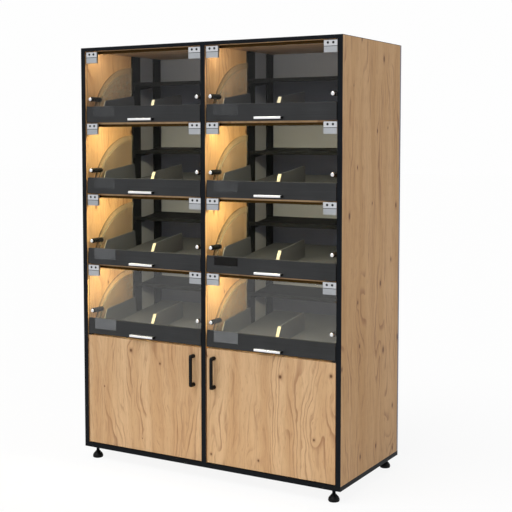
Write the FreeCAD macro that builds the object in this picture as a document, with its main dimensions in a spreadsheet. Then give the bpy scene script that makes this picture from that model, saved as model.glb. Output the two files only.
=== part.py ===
"""Self-service bakery display unit: two columns of four glazed bread bays over a two-door cupboard.

The origin is on the floor at the middle of the unit's outer box, with +Z up. The customers stand on the
-Y side, and +X is on their right. All sizes are in millimetres.
"""
import FreeCAD
import Part
import Sketcher
import os
import re

# Driving dimensions: word, value, meaning
DRIVING_SIZES = (
    ("unit_width", 1320, "outside of one side panel to the other"),
    ("unit_depth", 600, "front lippings to the rear of the back panel"),
    ("unit_height", 1900, "floor to the top board"),
    ("foot_height", 55, "floor to the base frame"),
    ("frame_tube", 20, "square tube of the base frame"),
    ("corner_plate_length", 70, "foot plate in a frame corner, along and across"),
    ("corner_plate_thickness", 4, "foot plate"),
    ("panel_thickness", 22, "side panels and centre partition"),
    ("lipping_thickness", 2, "black edge strips"),
    ("top_thickness", 16, "top board"),
    ("back_thickness", 12, "back panel"),
    ("shelf_thickness", 18, "shelf and bottom boards"),
    ("shelf_lift", 10, "bay floor above the lower edge of its flap"),
    ("tier_pitch", 324, "one bay to the next, upwards"),
    ("cupboard_shelf_setback", 60, "cupboard shelf behind the doors"),
    ("flap_gap", 5, "between two flaps, one above the other"),
    ("flap_turn_gap", 1, "top board to the clamps as the uppermost flaps turn"),
    ("flap_side_gap", 4, "flap to the panel beside it"),
    ("flap_setback", 4, "flap rail behind the lippings"),
    ("glazing_thickness", 5, "smoked acrylic sheet"),
    ("glazing_drop", 12, "top of the sheet below the top of the flap"),
    ("rail_height", 73, "black lower rail of a flap"),
    ("rail_thickness", 13, "lower rail, front to rear"),
    ("groove_depth", 15, "sheet sunk into the rail"),
    ("clamp_width", 60, "hinge clamp, sideways"),
    ("clamp_height", 50, "hinge clamp, upwards"),
    ("clamp_wall", 3, "hinge clamp beside the sheet"),
    ("clamp_line_depth", 0.8, "parting line across the clamp's face"),
    ("clamp_line_drop", 25, "parting line below the clamp's top"),
    ("screw_hole_diameter", 5, "set screw recess in a clamp"),
    ("screw_hole_depth", 1.5, "set screw recess in a clamp"),
    ("screw_hole_drop", 11, "set screw below the clamp's top"),
    ("screw_hole_spacing", 24, "two set screws of a clamp"),
    ("pivot_drop", 6, "flap's turning axis below its top"),
    ("pivot_diameter", 5, "flap pivot pin"),
    ("pivot_reach", 16, "pin inside the clamp"),
    ("pivot_clearance", 0.05, "running clearance round a pin"),
    ("bore_end_gap", 2, "end of a pin to the end of its bore"),
    ("flange_diameter", 12, "flange of a flap pivot"),
    ("flange_thickness", 2, "flange of a pivot"),
    ("handle_length", 131, "aluminium pull on a flap"),
    ("handle_height", 10, "aluminium pull on a flap"),
    ("handle_projection", 20, "aluminium pull in front of the rail"),
    ("handle_lift", 7.5, "pull above the lower edge of the rail"),
    ("handle_round", 3, "rounded front edges of the pull"),
    ("ticket_length", 121, "clear price-ticket pocket on a rail"),
    ("ticket_height", 50, "clear price-ticket pocket on a rail"),
    ("ticket_thickness", 3, "clear price-ticket pocket on a rail"),
    ("ticket_inset", 38, "pocket from the flap's left edge"),
    ("ticket_rise", 2, "pocket above the rail"),
    ("buffer_diameter", 22, "rubber sleeve"),
    ("buffer_length", 68, "rubber sleeve behind the sheet"),
    ("buffer_inset", 19.5, "buffer from the edge of its flap"),
    ("buffer_drop", 213, "buffer below the top of its flap"),
    ("stud_diameter", 6, "stud through the sheet"),
    ("stud_clearance", 0.1, "stud in its hole"),
    ("front_cap_diameter", 18, "domed cap before the sheet"),
    ("front_cap_length", 7, "domed cap before the sheet"),
    ("rear_cap_diameter", 19, "cap at the end of the sleeve"),
    ("rear_cap_length", 8, "cap at the end of the sleeve"),
    ("tray_side_gap", 36, "bread tray to the panel beside it"),
    ("tray_front_gap", 8, "front lip of a tray behind the edge of its shelf"),
    ("tray_rear_gap", 34, "bread tray to the back panel"),
    ("tray_thickness", 6, "bread tray and its riser"),
    ("tray_slope", 7.7, "trays fall towards the customer, in degrees"),
    ("tray_lip_height", 46, "front lip of a bread tray"),
    ("tray_joint_gap", 1, "lip to the tray behind it"),
    ("riser_inset", 40, "riser in front of the tray's rear edge"),
    ("divider_thickness", 5, "divider on a tray"),
    ("divider_height", 78, "divider above its tray"),
    ("divider_lean", 52, "slant of the divider's front edge"),
    ("divider_inset", 16, "foot of the divider behind the tray's front"),
    ("divider_length", 270, "foot of the divider, front to rear"),
    ("guard_radius", 300, "quarter-round wall guard"),
    ("guard_centre_drop", 43, "centre of its round below the bay floor"),
    ("guard_thickness", 6, "quarter-round wall guard"),
    ("guard_rim_width", 26, "raised rim along its round"),
    ("guard_rim_height", 3, "raised rim along its round"),
    ("guard_upright_gap", 5, "guard to the upright behind it"),
    ("upright_setback", 350, "front uprights behind the lippings"),
    ("upright_width", 60, "black uprights, front to rear"),
    ("upright_thickness", 11, "black uprights, from the panel"),
    ("rear_upright_gap", 8, "rear uprights to the back panel"),
    ("lining_thickness", 6, "grey lining on a panel, between its uprights"),
    ("arm_thickness", 8, "arm that carries an upper tray"),
    ("arm_height", 20, "arm that carries an upper tray"),
    ("upper_setback", 352, "upper tray behind the lippings"),
    ("upper_drop", 140, "upper tray's front below the top of the flap"),
    ("upper_thickness", 2, "upper tray"),
    ("upper_lip_height", 18, "front lip of an upper tray"),
    ("upper_lip_thickness", 4, "front lip of an upper tray"),
    ("upper_side_gap", 1, "upper tray to the uprights' faces"),
    ("light_setback", 6, "light bar behind the edge of the shelf over it"),
    ("light_depth", 18, "light bar, front to rear"),
    ("light_height", 9, "aluminium body of the light bar"),
    ("diffuser_depth", 14, "diffuser, front to rear"),
    ("diffuser_height", 3, "diffuser below the body"),
    ("light_end_gap", 6, "light bar to the panels beside it"),
    ("door_thickness", 18, "cupboard door"),
    ("door_setback", 4, "door behind the lippings"),
    ("door_rear_gap", 2, "corner of a turning door to the boards behind it"),
    ("door_side_gap", 4, "door to the panel beside it"),
    ("door_top_gap", 8, "door to the lowest flap"),
    ("door_bottom_gap", 4, "door to the base frame"),
    ("door_pin_diameter", 8, "door pivot pin"),
    ("door_pin_reach", 12, "pin inside the door"),
    ("door_pin_inset", 10, "pin from the door's edge"),
    ("door_pin_setback", 8, "pin behind the door's face"),
    ("door_flange_diameter", 16, "flange of the lower door pivot"),
    ("door_plate_thickness", 3, "plate of the upper door pivot"),
    ("door_plate_width", 16, "plate of the upper door pivot, front to rear"),
    ("pull_length", 142, "bow handle of a door"),
    ("pull_bar", 13, "bow handle's square bar"),
    ("pull_projection", 32, "bow handle in front of the door"),
    ("pull_drop", 32, "bow handle below the door's top"),
    ("pull_inset", 38, "bow handle from the door's free edge"),
    ("foot_inset_x", 46, "foot from the side"),
    ("foot_inset_y", 36, "foot from the front and from the rear"),
    ("foot_pad_diameter", 48, "levelling foot on the floor"),
    ("foot_pad_edge", 6, "straight edge of the pad"),
    ("foot_neck_diameter", 21, "top of the pad"),
    ("foot_pad_height", 30, "pad from the floor to its neck"),
    ("foot_stem_diameter", 15, "threaded stem"),
    ("foot_nut_width", 24, "lock nut across its corners"),
    ("foot_nut_height", 9, "lock nut"),
)

TIERS = range(4)
SIDES = ("left", "right")
UP_X = FreeCAD.Rotation(FreeCAD.Vector(1, 0, 0), 0)
ALONG_X = FreeCAD.Rotation(FreeCAD.Vector(0, 1, 0), 90)
ALONG_Y = FreeCAD.Rotation(FreeCAD.Vector(1, 0, 0), -90)
TILTED = FreeCAD.Rotation(FreeCAD.Vector(1, 0, 0), 1)

doc = FreeCAD.newDocument("bakery_display_unit")
sheet = doc.addObject("Spreadsheet::Sheet", "sizes")
for row, (word, value, meaning) in enumerate(DRIVING_SIZES, start=1):
    sheet.set(f"A{row}", str(value))
    sheet.setAlias(f"A{row}", word)
    sheet.set(f"B{row}", meaning)
doc.recompute()
WORDS = {word for word, _, _ in DRIVING_SIZES}
subparts = []


# Places that many pieces share, as expressions of the driving dimensions
FRONT = "(-(unit_depth - pull_projection + door_setback) / 2)"
LEFT = "(-unit_width / 2)"
BACK_FACE = f"({FRONT} + unit_depth - back_thickness)"
FRAME_TOP = "(foot_height + frame_tube)"
BAY_WIDTH = "((unit_width - 3 * panel_thickness) / 2)"
BAY_LEFT = {"left": f"({LEFT} + panel_thickness)", "right": "(panel_thickness / 2)"}
DOOR_SWING = "sqrt(door_pin_inset ^ 2 + (door_thickness - door_pin_setback) ^ 2)"
SHELF_SETBACK = f"(door_setback + door_pin_setback + {DOOR_SWING} + door_rear_gap)"
SHELF_DEPTH = f"(unit_depth - back_thickness - {SHELF_SETBACK})"
FLAP_WIDTH = f"({BAY_WIDTH} - 2 * flap_side_gap)"
FLAP_HEIGHT = "(tier_pitch - flap_gap)"
FLAP_MIDDLE = f"({FRONT} + flap_setback + rail_thickness / 2)"
CLAMP_THICKNESS = "(glazing_thickness + 2 * clamp_wall)"
CLAMP_SWING = f"sqrt(pivot_drop ^ 2 + ({CLAMP_THICKNESS} / 2) ^ 2)"
DOOR_WIDTH = f"({BAY_WIDTH} - 2 * door_side_gap)"
DOOR_FACE = f"({FRONT} + door_setback)"
DOOR_FOOT = f"({FRAME_TOP} + door_bottom_gap)"
TRAY_FRONT = f"({SHELF_SETBACK} + tray_front_gap + tray_thickness + tray_joint_gap)"
TRAY_WIDTH = f"({BAY_WIDTH} - 2 * tray_side_gap)"
TRAY_REACH = f"(unit_depth - back_thickness - tray_rear_gap - {TRAY_FRONT})"


def flap_top(tier):
    """Height of the top of a tier's flaps; tier 0 is the uppermost."""
    return f"(unit_height - top_thickness - flap_turn_gap - {CLAMP_SWING} + pivot_drop - {tier} * tier_pitch)"


def flap_foot(tier):
    return f"({flap_top(tier)} - {FLAP_HEIGHT})"


def bay_floor(tier):
    return f"({flap_foot(tier)} + shelf_lift)"


def bay_ceiling(tier):
    if tier == 0:
        return "(unit_height - top_thickness)"
    return f"({bay_floor(tier - 1)} - shelf_thickness)"


DOOR_HEAD = f"({flap_foot(TIERS[-1])} - door_top_gap)"


# Small makers of bound features
def tie(feature, **formulas):
    """Bind properties of a feature to formulas written with the words of the sheet."""
    for name, formula in formulas.items():
        bound = re.sub(r"[a-z_]+", lambda word: f"sizes.{word[0]}" if word[0] in WORDS else word[0], formula)
        feature.setExpression(name.replace("__", "."), bound)
    return feature


def put(feature, x, y, z, turned=UP_X, slope=None):
    """Set a feature's place, and its tilt about X where it has one."""
    feature.Placement = FreeCAD.Placement(FreeCAD.Vector(), turned)
    tie(feature, Placement__Base__x=x, Placement__Base__y=y, Placement__Base__z=z)
    if slope:
        tie(feature, Placement__Rotation__Angle=slope)
    return feature


def block(name, length, width, height, x, y, z, slope=None):
    """A board, bar or sheet: its sizes along X, Y and Z, and its lowest corner."""
    box = tie(doc.addObject("Part::Box", name), Length=length, Width=width, Height=height)
    return put(box, x, y, z, TILTED if slope else UP_X, slope)


def rod(name, diameter, length, x, y, z, turned=UP_X):
    """A round piece: its diameter and length, and the middle of its first end."""
    cylinder = tie(doc.addObject("Part::Cylinder", name), Radius=f"({diameter}) / 2", Height=length)
    return put(cylinder, x, y, z, turned)


def joined(name, pieces):
    fuse = doc.addObject("Part::MultiFuse", name)
    fuse.Shapes = pieces
    return fuse


def cut(name, base, tools):
    """A piece with other shapes taken out of it."""
    if len(tools) > 1:
        tools = [joined(name + "_tools", tools)]
    result = doc.addObject("Part::Cut", name)
    result.Base = base
    result.Tool = tools[0]
    return result


def node(label, pieces):
    """Keep one sub-part: a single piece, or a group of separate pieces."""
    kept = pieces[0]
    if len(pieces) > 1:
        kept = doc.addObject("Part::Compound", label)
        kept.Links = pieces
    kept.Label = label
    subparts.append(kept)


def sketch_outline(body, role, corners):
    """A closed sketch of straight sides on one of the body's own planes, every corner bound to the sheet."""
    plane = next(item for item in body.Origin.OriginFeatures if item.Role == role)
    sketch = body.newObject("Sketcher::SketchObject", body.Name + "_outline")
    sketch.AttachmentSupport = (plane, "")
    sketch.MapMode = "FlatFace"
    count = len(corners)
    start_shape = [FreeCAD.Vector(*guess, 0) for guess, _, _ in corners]
    for index in range(count):
        sketch.addGeometry(Part.LineSegment(start_shape[index], start_shape[(index + 1) % count]))
    for index in range(count):
        sketch.addConstraint(Sketcher.Constraint("Coincident", index, 2, (index + 1) % count, 1))
    for index, (_, across, upwards) in enumerate(corners):
        for kind, axis, formula in (("DistanceX", -2, across), ("DistanceY", -1, upwards)):
            if formula == "0":
                sketch.addConstraint(Sketcher.Constraint("PointOnObject", index, 1, axis))
                continue
            guess = start_shape[index].x if kind == "DistanceX" else start_shape[index].y
            place = sketch.addConstraint(Sketcher.Constraint(kind, -1, 1, index, 1, guess))
            tie(sketch, **{f"Constraints[{place}]": formula})
    return sketch


# Carcass
def make_carcass():
    """Side panels, partition, boards, back panel and their black edge strips."""
    inner_depth = "(unit_depth - back_thickness - lipping_thickness)"
    board_front = f"({FRONT} + lipping_thickness)"
    side_height = f"(unit_height - lipping_thickness - {FRAME_TOP})"
    stile_height = f"(unit_height - {FRAME_TOP})"
    right_panel = "(unit_width / 2 - panel_thickness)"
    for side, x in (("left", LEFT), ("right", right_panel)):
        panel = block(f"{side}_panel", "panel_thickness", inner_depth, side_height, x, board_front, FRAME_TOP)
        node(f"{side}_side_panel", [panel])
    partition_height = f"(unit_height - top_thickness - {FRAME_TOP})"
    partition = block("partition", "panel_thickness", inner_depth, partition_height,
                      "(-panel_thickness / 2)", board_front, FRAME_TOP)
    node("centre_partition", [partition])
    top_width = "(unit_width - 2 * panel_thickness)"
    top = block("top", top_width, inner_depth, "top_thickness",
                BAY_LEFT["left"], board_front, "unit_height - top_thickness")
    node("top_board", [top])
    back = block("back", "unit_width", "back_thickness", stile_height, LEFT, BACK_FACE, FRAME_TOP)
    linings = []
    for tier in TIERS:
        for side in SIDES:
            linings += make_linings(f"bay_{tier}_{side}", tier, side)
    node("back_panel", [back] + linings)

    lippings = [
        block("left_stile", "panel_thickness", "lipping_thickness", stile_height, LEFT, FRONT, FRAME_TOP),
        block("right_stile", "panel_thickness", "lipping_thickness", stile_height,
              right_panel, FRONT, FRAME_TOP),
        block("middle_stile", "panel_thickness", "lipping_thickness", partition_height,
              "(-panel_thickness / 2)", FRONT, FRAME_TOP),
        block("top_strip", top_width, "lipping_thickness", "top_thickness",
              BAY_LEFT["left"], FRONT, "unit_height - top_thickness"),
    ]
    for side, x in (("left", LEFT), ("right", right_panel)):
        lippings.append(block(f"{side}_head_strip", "panel_thickness", inner_depth, "lipping_thickness",
                              x, board_front, "unit_height - lipping_thickness"))
    node("edge_lippings", lippings)

    bottoms = []
    shelves = []
    cupboard_floor = f"({FRAME_TOP} + shelf_thickness)"
    cupboard_ceiling = f"({bay_floor(TIERS[-1])} - shelf_thickness)"
    cupboard_shelf = f"(({cupboard_floor} + {cupboard_ceiling} - shelf_thickness) / 2)"
    for side in SIDES:
        shelf_front = f"({FRONT} + {SHELF_SETBACK})"
        bottoms.append(block(f"bottom_{side}", BAY_WIDTH, SHELF_DEPTH, "shelf_thickness",
                             BAY_LEFT[side], shelf_front, FRAME_TOP))
        for tier in TIERS:
            shelves.append(block(f"shelf_{tier}_{side}", BAY_WIDTH, SHELF_DEPTH, "shelf_thickness",
                                 BAY_LEFT[side], shelf_front, f"{bay_floor(tier)} - shelf_thickness"))
        shelves.append(block(f"cupboard_shelf_{side}", BAY_WIDTH, f"{SHELF_DEPTH} - cupboard_shelf_setback",
                             "shelf_thickness", BAY_LEFT[side], f"{shelf_front} + cupboard_shelf_setback",
                             cupboard_shelf))
    node("bottom_boards", bottoms)
    node("shelf_boards", shelves)


# Base frame and feet
def make_base():
    """Welded tube frame under the carcass, with a foot plate in each corner."""
    side_length = "(unit_depth - 2 * frame_tube)"
    inner_front = f"({FRONT} + frame_tube)"
    rear = f"({FRONT} + unit_depth - frame_tube)"
    right_rail = "(unit_width / 2 - frame_tube)"
    rails = [
        block("front_rail", "unit_width", "frame_tube", "frame_tube", LEFT, FRONT, "foot_height"),
        block("rear_rail", "unit_width", "frame_tube", "frame_tube", LEFT, rear, "foot_height"),
    ]
    for name, x in (("left", LEFT), ("middle", "(-frame_tube / 2)"), ("right", right_rail)):
        rails.append(block(f"{name}_rail", "frame_tube", side_length, "frame_tube",
                           x, inner_front, "foot_height"))
    feet = []
    plate_x = {"left": f"({LEFT} + frame_tube)", "right": f"({right_rail} - corner_plate_length)"}
    plate_y = {"front": inner_front, "rear": f"({rear} - corner_plate_length)"}
    foot_x = {"left": f"({LEFT} + foot_inset_x)", "right": "(unit_width / 2 - foot_inset_x)"}
    foot_y = {"front": f"({FRONT} + foot_inset_y)", "rear": f"({FRONT} + unit_depth - foot_inset_y)"}
    for end in ("front", "rear"):
        for side in SIDES:
            rails.append(block(f"{end}_{side}_plate", "corner_plate_length", "corner_plate_length",
                               "corner_plate_thickness", plate_x[side], plate_y[end], "foot_height"))
            feet += make_foot(f"{end}_{side}_foot", foot_x[side], foot_y[end])
    node("base_frame", rails)
    node("levelling_feet", feet)


def make_foot(name, x, y):
    """A turned pad, a stem and a lock nut."""
    body = doc.addObject("PartDesign::Body", name + "_pad")
    corners = (
        ((0, 0), "0", "0"),
        ((24, 0), "foot_pad_diameter / 2", "0"),
        ((24, 6), "foot_pad_diameter / 2", "foot_pad_edge"),
        ((9, 30), "foot_neck_diameter / 2", "foot_pad_height"),
        ((0, 30), "0", "foot_pad_height"),
    )
    outline = sketch_outline(body, "XZ_Plane", corners)
    turned = body.newObject("PartDesign::Revolution", name + "_turned")
    turned.Profile = outline
    turned.ReferenceAxis = (outline, ["V_Axis"])
    turned.Angle = 360
    put(body, x, y, "0")
    stem_length = "(foot_height - foot_pad_height - foot_nut_height)"
    stem = rod(name + "_stem", "foot_stem_diameter", stem_length, x, y, "foot_pad_height")
    nut = doc.addObject("Part::Prism", name + "_nut")
    tie(nut, Circumradius="foot_nut_width / 2", Height="foot_nut_height")
    put(nut, x, y, "foot_height - foot_nut_height")
    return [body, stem, nut]


# Furniture of the bread bays
def make_bays():
    """Trays, dividers, wall guards, uprights, upper trays and light bars of all the bays."""
    trays = []
    uppers = []
    guards = []
    uprights = []
    lights = []
    for tier in TIERS:
        for side in SIDES:
            name = f"bay_{tier}_{side}"
            trays += make_tray(name, tier, side)
            trays += make_dividers(name, tier, side)
            guards += make_wall_guards(name, tier, side)
            uprights += make_uprights(name, tier, side)
            uppers += make_upper_tray(name, tier, side)
            lights += make_light(name, tier, side)
    node("bread_trays", trays)
    node("wall_guards", guards)
    node("tray_uprights", uprights)
    node("upper_trays", uppers)
    node("light_bars", lights)


def make_tray(name, tier, side):
    """A sloping board with a lip along its front and a riser under its rear."""
    x = f"({BAY_LEFT[side]} + tray_side_gap)"
    floor = bay_floor(tier)
    lip_y = f"({FRONT} + {SHELF_SETBACK} + tray_front_gap)"
    riser_reach = f"({TRAY_REACH} - riser_inset)"
    tray = block(name + "_tray", TRAY_WIDTH, f"{TRAY_REACH} / cos(tray_slope)", "tray_thickness",
                 x, f"({FRONT} + {TRAY_FRONT})", floor, "tray_slope")
    lip = block(name + "_tray_lip", TRAY_WIDTH, "tray_thickness", "tray_lip_height", x, lip_y, floor)
    riser = block(name + "_riser", TRAY_WIDTH, "tray_thickness", f"{riser_reach} * tan(tray_slope)",
                  x, f"({FRONT} + {TRAY_FRONT} + {riser_reach})", floor)
    return [tray, lip, riser]


def make_dividers(name, tier, side):
    """Three boards that stand on the tray: one at each side and one in the middle."""
    x = f"({BAY_LEFT[side]} + tray_side_gap)"
    places = {
        "left": x,
        "middle": f"({x} + ({TRAY_WIDTH} - divider_thickness) / 2)",
        "right": f"({x} + {TRAY_WIDTH} - divider_thickness)",
    }
    y = f"({FRONT} + {TRAY_FRONT} + divider_inset * cos(tray_slope) - tray_thickness * sin(tray_slope))"
    z = f"({bay_floor(tier)} + divider_inset * sin(tray_slope) + tray_thickness * cos(tray_slope))"
    plates = []
    for place, plate_x in places.items():
        plate = doc.addObject("Part::Wedge", f"{name}_{place}_divider")
        tie(plate, Xmin="0", X2min="0", Xmax="divider_thickness", X2max="divider_thickness",
            Ymin="0", Ymax="divider_height", Zmin="-divider_length", Z2min="-divider_length",
            Zmax="0", Z2max="-divider_lean")
        plates.append(put(plate, plate_x, y, z, TILTED, "90 + tray_slope"))
    return plates


def make_wall_guards(name, tier, side):
    """Clear quarter-round sheets on the two panels of a bay, each with a raised rim along its round."""
    floor = bay_floor(tier)
    rear = "(upright_setback - guard_upright_gap)"
    centre_y = f"({FRONT} + {rear})"
    centre_z = f"({floor} - guard_centre_drop)"
    full = "(guard_thickness + guard_rim_height)"
    sheets = []
    for wall in SIDES:
        tag = f"{name}_{wall}_guard"
        face = BAY_LEFT[side] if wall == "left" else f"({BAY_LEFT[side]} + {BAY_WIDTH})"
        sheet_x = face if wall == "left" else f"({face} - guard_thickness)"
        rim_x = face if wall == "left" else f"({face} - {full})"
        sheet_disc = rod(tag + "_disc", "2 * guard_radius", "guard_thickness",
                         sheet_x, centre_y, centre_z, ALONG_X)
        rim_disc = rod(tag + "_rim_disc", "2 * guard_radius", full, rim_x, centre_y, centre_z, ALONG_X)
        rim_hole = rod(tag + "_rim_hole", "2 * (guard_radius - guard_rim_width)", full,
                       rim_x, centre_y, centre_z, ALONG_X)
        whole = joined(tag + "_whole", [sheet_disc, cut(tag + "_rim", rim_disc, [rim_hole])])
        quarter = block(tag + "_quarter", full, "guard_radius", "guard_radius",
                        rim_x, f"{centre_y} - guard_radius", floor)
        guard = doc.addObject("Part::Common", tag)
        guard.Base = whole
        guard.Tool = quarter
        sheets.append(guard)
    return sheets


def make_linings(name, tier, side):
    """The grey boards on a bay's two panels, between its front and rear uprights."""
    floor = bay_floor(tier)
    height = f"({bay_ceiling(tier)} - {floor})"
    front_y = f"({FRONT} + upright_setback + upright_width)"
    depth = f"({BACK_FACE} - rear_upright_gap - upright_width - {front_y})"
    pieces = []
    for wall in SIDES:
        x = BAY_LEFT[side] if wall == "left" else f"({BAY_LEFT[side]} + {BAY_WIDTH} - lining_thickness)"
        pieces.append(block(f"{name}_{wall}_lining", "lining_thickness", depth, height, x, front_y, floor))
    return pieces


def make_uprights(name, tier, side):
    """Two uprights on each panel of a bay, and the sloping arm between them under the upper tray."""
    floor = bay_floor(tier)
    height = f"({bay_ceiling(tier)} - {floor})"
    front_y = f"({FRONT} + upright_setback)"
    rear_y = f"({BACK_FACE} - rear_upright_gap - upright_width)"
    arm_reach = "(unit_depth - back_thickness - rear_upright_gap - upper_setback)"
    arm_y = f"({FRONT} + upper_setback + arm_height * sin(tray_slope))"
    arm_z = f"({flap_top(tier)} - upper_drop - arm_height * cos(tray_slope))"
    pieces = []
    for wall in SIDES:
        face = BAY_LEFT[side] if wall == "left" else f"({BAY_LEFT[side]} + {BAY_WIDTH})"
        upright_x = face
        arm_x = f"({face} + upright_thickness)"
        if wall == "right":
            upright_x = f"({face} - upright_thickness)"
            arm_x = f"({face} - upright_thickness - arm_thickness)"
        for place, y in (("front", front_y), ("rear", rear_y)):
            pieces.append(block(f"{name}_{wall}_{place}_upright",
                                "upright_thickness", "upright_width", height, upright_x, y, floor))
        arm_length = f"{arm_reach} / cos(tray_slope) - arm_height"
        pieces.append(block(f"{name}_{wall}_arm", "arm_thickness", arm_length, "arm_height",
                            arm_x, arm_y, arm_z, "tray_slope"))
    return pieces


def make_upper_tray(name, tier, side):
    """A thin sloping tray that lies on the two arms, with a lip along its front."""
    margin = "(upright_thickness + upper_side_gap)"
    x = f"({BAY_LEFT[side]} + {margin})"
    width = f"({BAY_WIDTH} - 2 * {margin})"
    z = f"({flap_top(tier)} - upper_drop)"
    y = f"({FRONT} + upper_setback)"
    reach = "(unit_depth - back_thickness - rear_upright_gap - upper_setback)"
    tray = block(name + "_upper_tray", width, f"{reach} / cos(tray_slope) - arm_height", "upper_thickness",
                 x, y, z, "tray_slope")
    lip = block(name + "_upper_lip", width, "upper_lip_thickness", "upper_lip_height",
                x, f"{y} - upper_lip_thickness - upper_thickness * sin(tray_slope)", z)
    return [tray, lip]


def make_light(name, tier, side):
    """An aluminium channel under the bay's ceiling and the diffuser below it."""
    x = f"({BAY_LEFT[side]} + light_end_gap)"
    length = f"({BAY_WIDTH} - 2 * light_end_gap)"
    y = f"({FRONT} + {SHELF_SETBACK} + light_setback)"
    channel = block(name + "_light", length, "light_depth", "light_height",
                    x, y, f"{bay_ceiling(tier)} - light_height")
    diffuser = block(name + "_diffuser", length, "diffuser_depth", "diffuser_height",
                     x, f"{y} + (light_depth - diffuser_depth) / 2",
                     f"{bay_ceiling(tier)} - light_height - diffuser_height")
    return [channel, diffuser]


# Flaps
def make_flap(tier, side):
    """One top-hung flap: sheet, lower rail, pull, hinge clamps and closing buffers."""
    name = f"flap_{tier + 1}_{side}"
    left = f"({BAY_LEFT[side]} + flap_side_gap)"
    top = flap_top(tier)
    foot = flap_foot(tier)
    node(name + "_glazing", [make_glazing(name, left, top, foot), make_ticket_pocket(name, left, foot)])
    node(name + "_rail", [make_rail(name, left, foot)])
    node(name + "_handle", [make_flap_handle(name, left, foot)])
    clamps = [make_clamp(f"{name}_{end}_clamp", end, left, top) for end in SIDES]
    node(name + "_hinge_clamps", clamps)
    buffers = [make_buffer(f"{name}_{end}_buffer", end, left, top) for end in SIDES]
    node(name + "_buffers", buffers)


def buffer_x(end, left):
    if end == "left":
        return f"({left} + buffer_inset)"
    return f"({left} + {FLAP_WIDTH} - buffer_inset)"


def make_glazing(name, left, top, foot):
    """The smoked sheet, from inside the rail's groove to inside the clamps, with two stud holes."""
    sheet_foot = f"({foot} + rail_height - groove_depth)"
    height = f"({top} - glazing_drop - {sheet_foot})"
    sheet_front = f"({FLAP_MIDDLE} - glazing_thickness / 2)"
    whole = block(name + "_sheet", FLAP_WIDTH, "glazing_thickness", height, left, sheet_front, sheet_foot)
    holes = [rod(f"{name}_{end}_stud_hole", "stud_diameter + 2 * stud_clearance", "glazing_thickness",
                 buffer_x(end, left), sheet_front, f"{top} - buffer_drop", ALONG_Y) for end in SIDES]
    return cut(name + "_drilled_sheet", whole, holes)


def make_ticket_pocket(name, left, foot):
    """The clear pocket for a price ticket, flat on the front of the rail."""
    return block(name + "_ticket_pocket", "ticket_length", "ticket_thickness", "ticket_height",
                 f"{left} + ticket_inset", f"{FRONT} + flap_setback - ticket_thickness",
                 f"{foot} + rail_height + ticket_rise - ticket_height")


def make_rail(name, left, foot):
    """The black lower rail, with the groove that the sheet stands in."""
    y = f"({FRONT} + flap_setback)"
    bar = block(name + "_bar", FLAP_WIDTH, "rail_thickness", "rail_height", left, y, foot)
    groove = block(name + "_groove", FLAP_WIDTH, "glazing_thickness", "groove_depth",
                   left, f"{FLAP_MIDDLE} - glazing_thickness / 2", f"{foot} + rail_height - groove_depth")
    return cut(name + "_grooved_bar", bar, [groove])


def make_flap_handle(name, left, foot):
    """A solid aluminium pull with rounded front edges."""
    body = doc.addObject("PartDesign::Body", name + "_pull")
    bar = body.newObject("PartDesign::AdditiveBox", name + "_pull_bar")
    tie(bar, Length="handle_length", Width="handle_projection", Height="handle_height")
    doc.recompute()
    front_edges = [f"Edge{number}" for number, edge in enumerate(bar.Shape.Edges, start=1)
                   if edge.BoundBox.YMax < 0.001 and edge.BoundBox.ZLength < 0.001]
    rounded = body.newObject("PartDesign::Fillet", name + "_pull_round")
    rounded.Base = (bar, front_edges)
    tie(rounded, Radius="handle_round")
    return put(body, f"{left} + ({FLAP_WIDTH} - handle_length) / 2",
               f"{FRONT} + flap_setback - handle_projection", f"{foot} + handle_lift")


def make_clamp(name, end, left, top):
    """A metal clamp over a top corner of the sheet, bored for its pivot pin."""
    x = left if end == "left" else f"({left} + {FLAP_WIDTH} - clamp_width)"
    front = f"({FLAP_MIDDLE} - {CLAMP_THICKNESS} / 2)"
    foot = f"({top} - clamp_height)"
    whole = block(name + "_whole", "clamp_width", CLAMP_THICKNESS, "clamp_height", x, front, foot)
    slot = block(name + "_slot", "clamp_width", "glazing_thickness", "clamp_height - glazing_drop",
                 x, f"{front} + clamp_wall", foot)
    bore_length = "(pivot_reach + bore_end_gap)"
    bore_x = left if end == "left" else f"({left} + {FLAP_WIDTH} - {bore_length})"
    bore = rod(name + "_bore", "pivot_diameter + 2 * pivot_clearance", bore_length,
               bore_x, FLAP_MIDDLE, f"{top} - pivot_drop", ALONG_X)
    line = block(name + "_line", "clamp_width", "clamp_line_depth", "2 * clamp_line_depth",
                 x, front, f"{top} - clamp_line_drop")
    screws = [rod(f"{name}_screw_{number}", "screw_hole_diameter", "screw_hole_depth",
                  f"{x} + (clamp_width {sign} screw_hole_spacing) / 2", front,
                  f"{top} - screw_hole_drop", ALONG_Y)
              for number, sign in enumerate("-+", start=1)]
    return cut(name, whole, [slot, bore, line] + screws)


def make_buffer(name, end, left, top):
    """A rubber-sleeved stud through the sheet, with a cap at each end."""
    x = buffer_x(end, left)
    z = f"({top} - buffer_drop)"
    sheet_front = f"({FLAP_MIDDLE} - glazing_thickness / 2)"
    sheet_rear = f"({FLAP_MIDDLE} + glazing_thickness / 2)"
    return joined(name, [
        rod(name + "_front_cap", "front_cap_diameter", "front_cap_length",
            x, f"{sheet_front} - front_cap_length", z, ALONG_Y),
        rod(name + "_stud", "stud_diameter", "glazing_thickness", x, sheet_front, z, ALONG_Y),
        rod(name + "_sleeve", "buffer_diameter", "buffer_length", x, sheet_rear, z, ALONG_Y),
        rod(name + "_rear_cap", "rear_cap_diameter", "rear_cap_length",
            x, f"{sheet_rear} + buffer_length", z, ALONG_Y),
    ])


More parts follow.
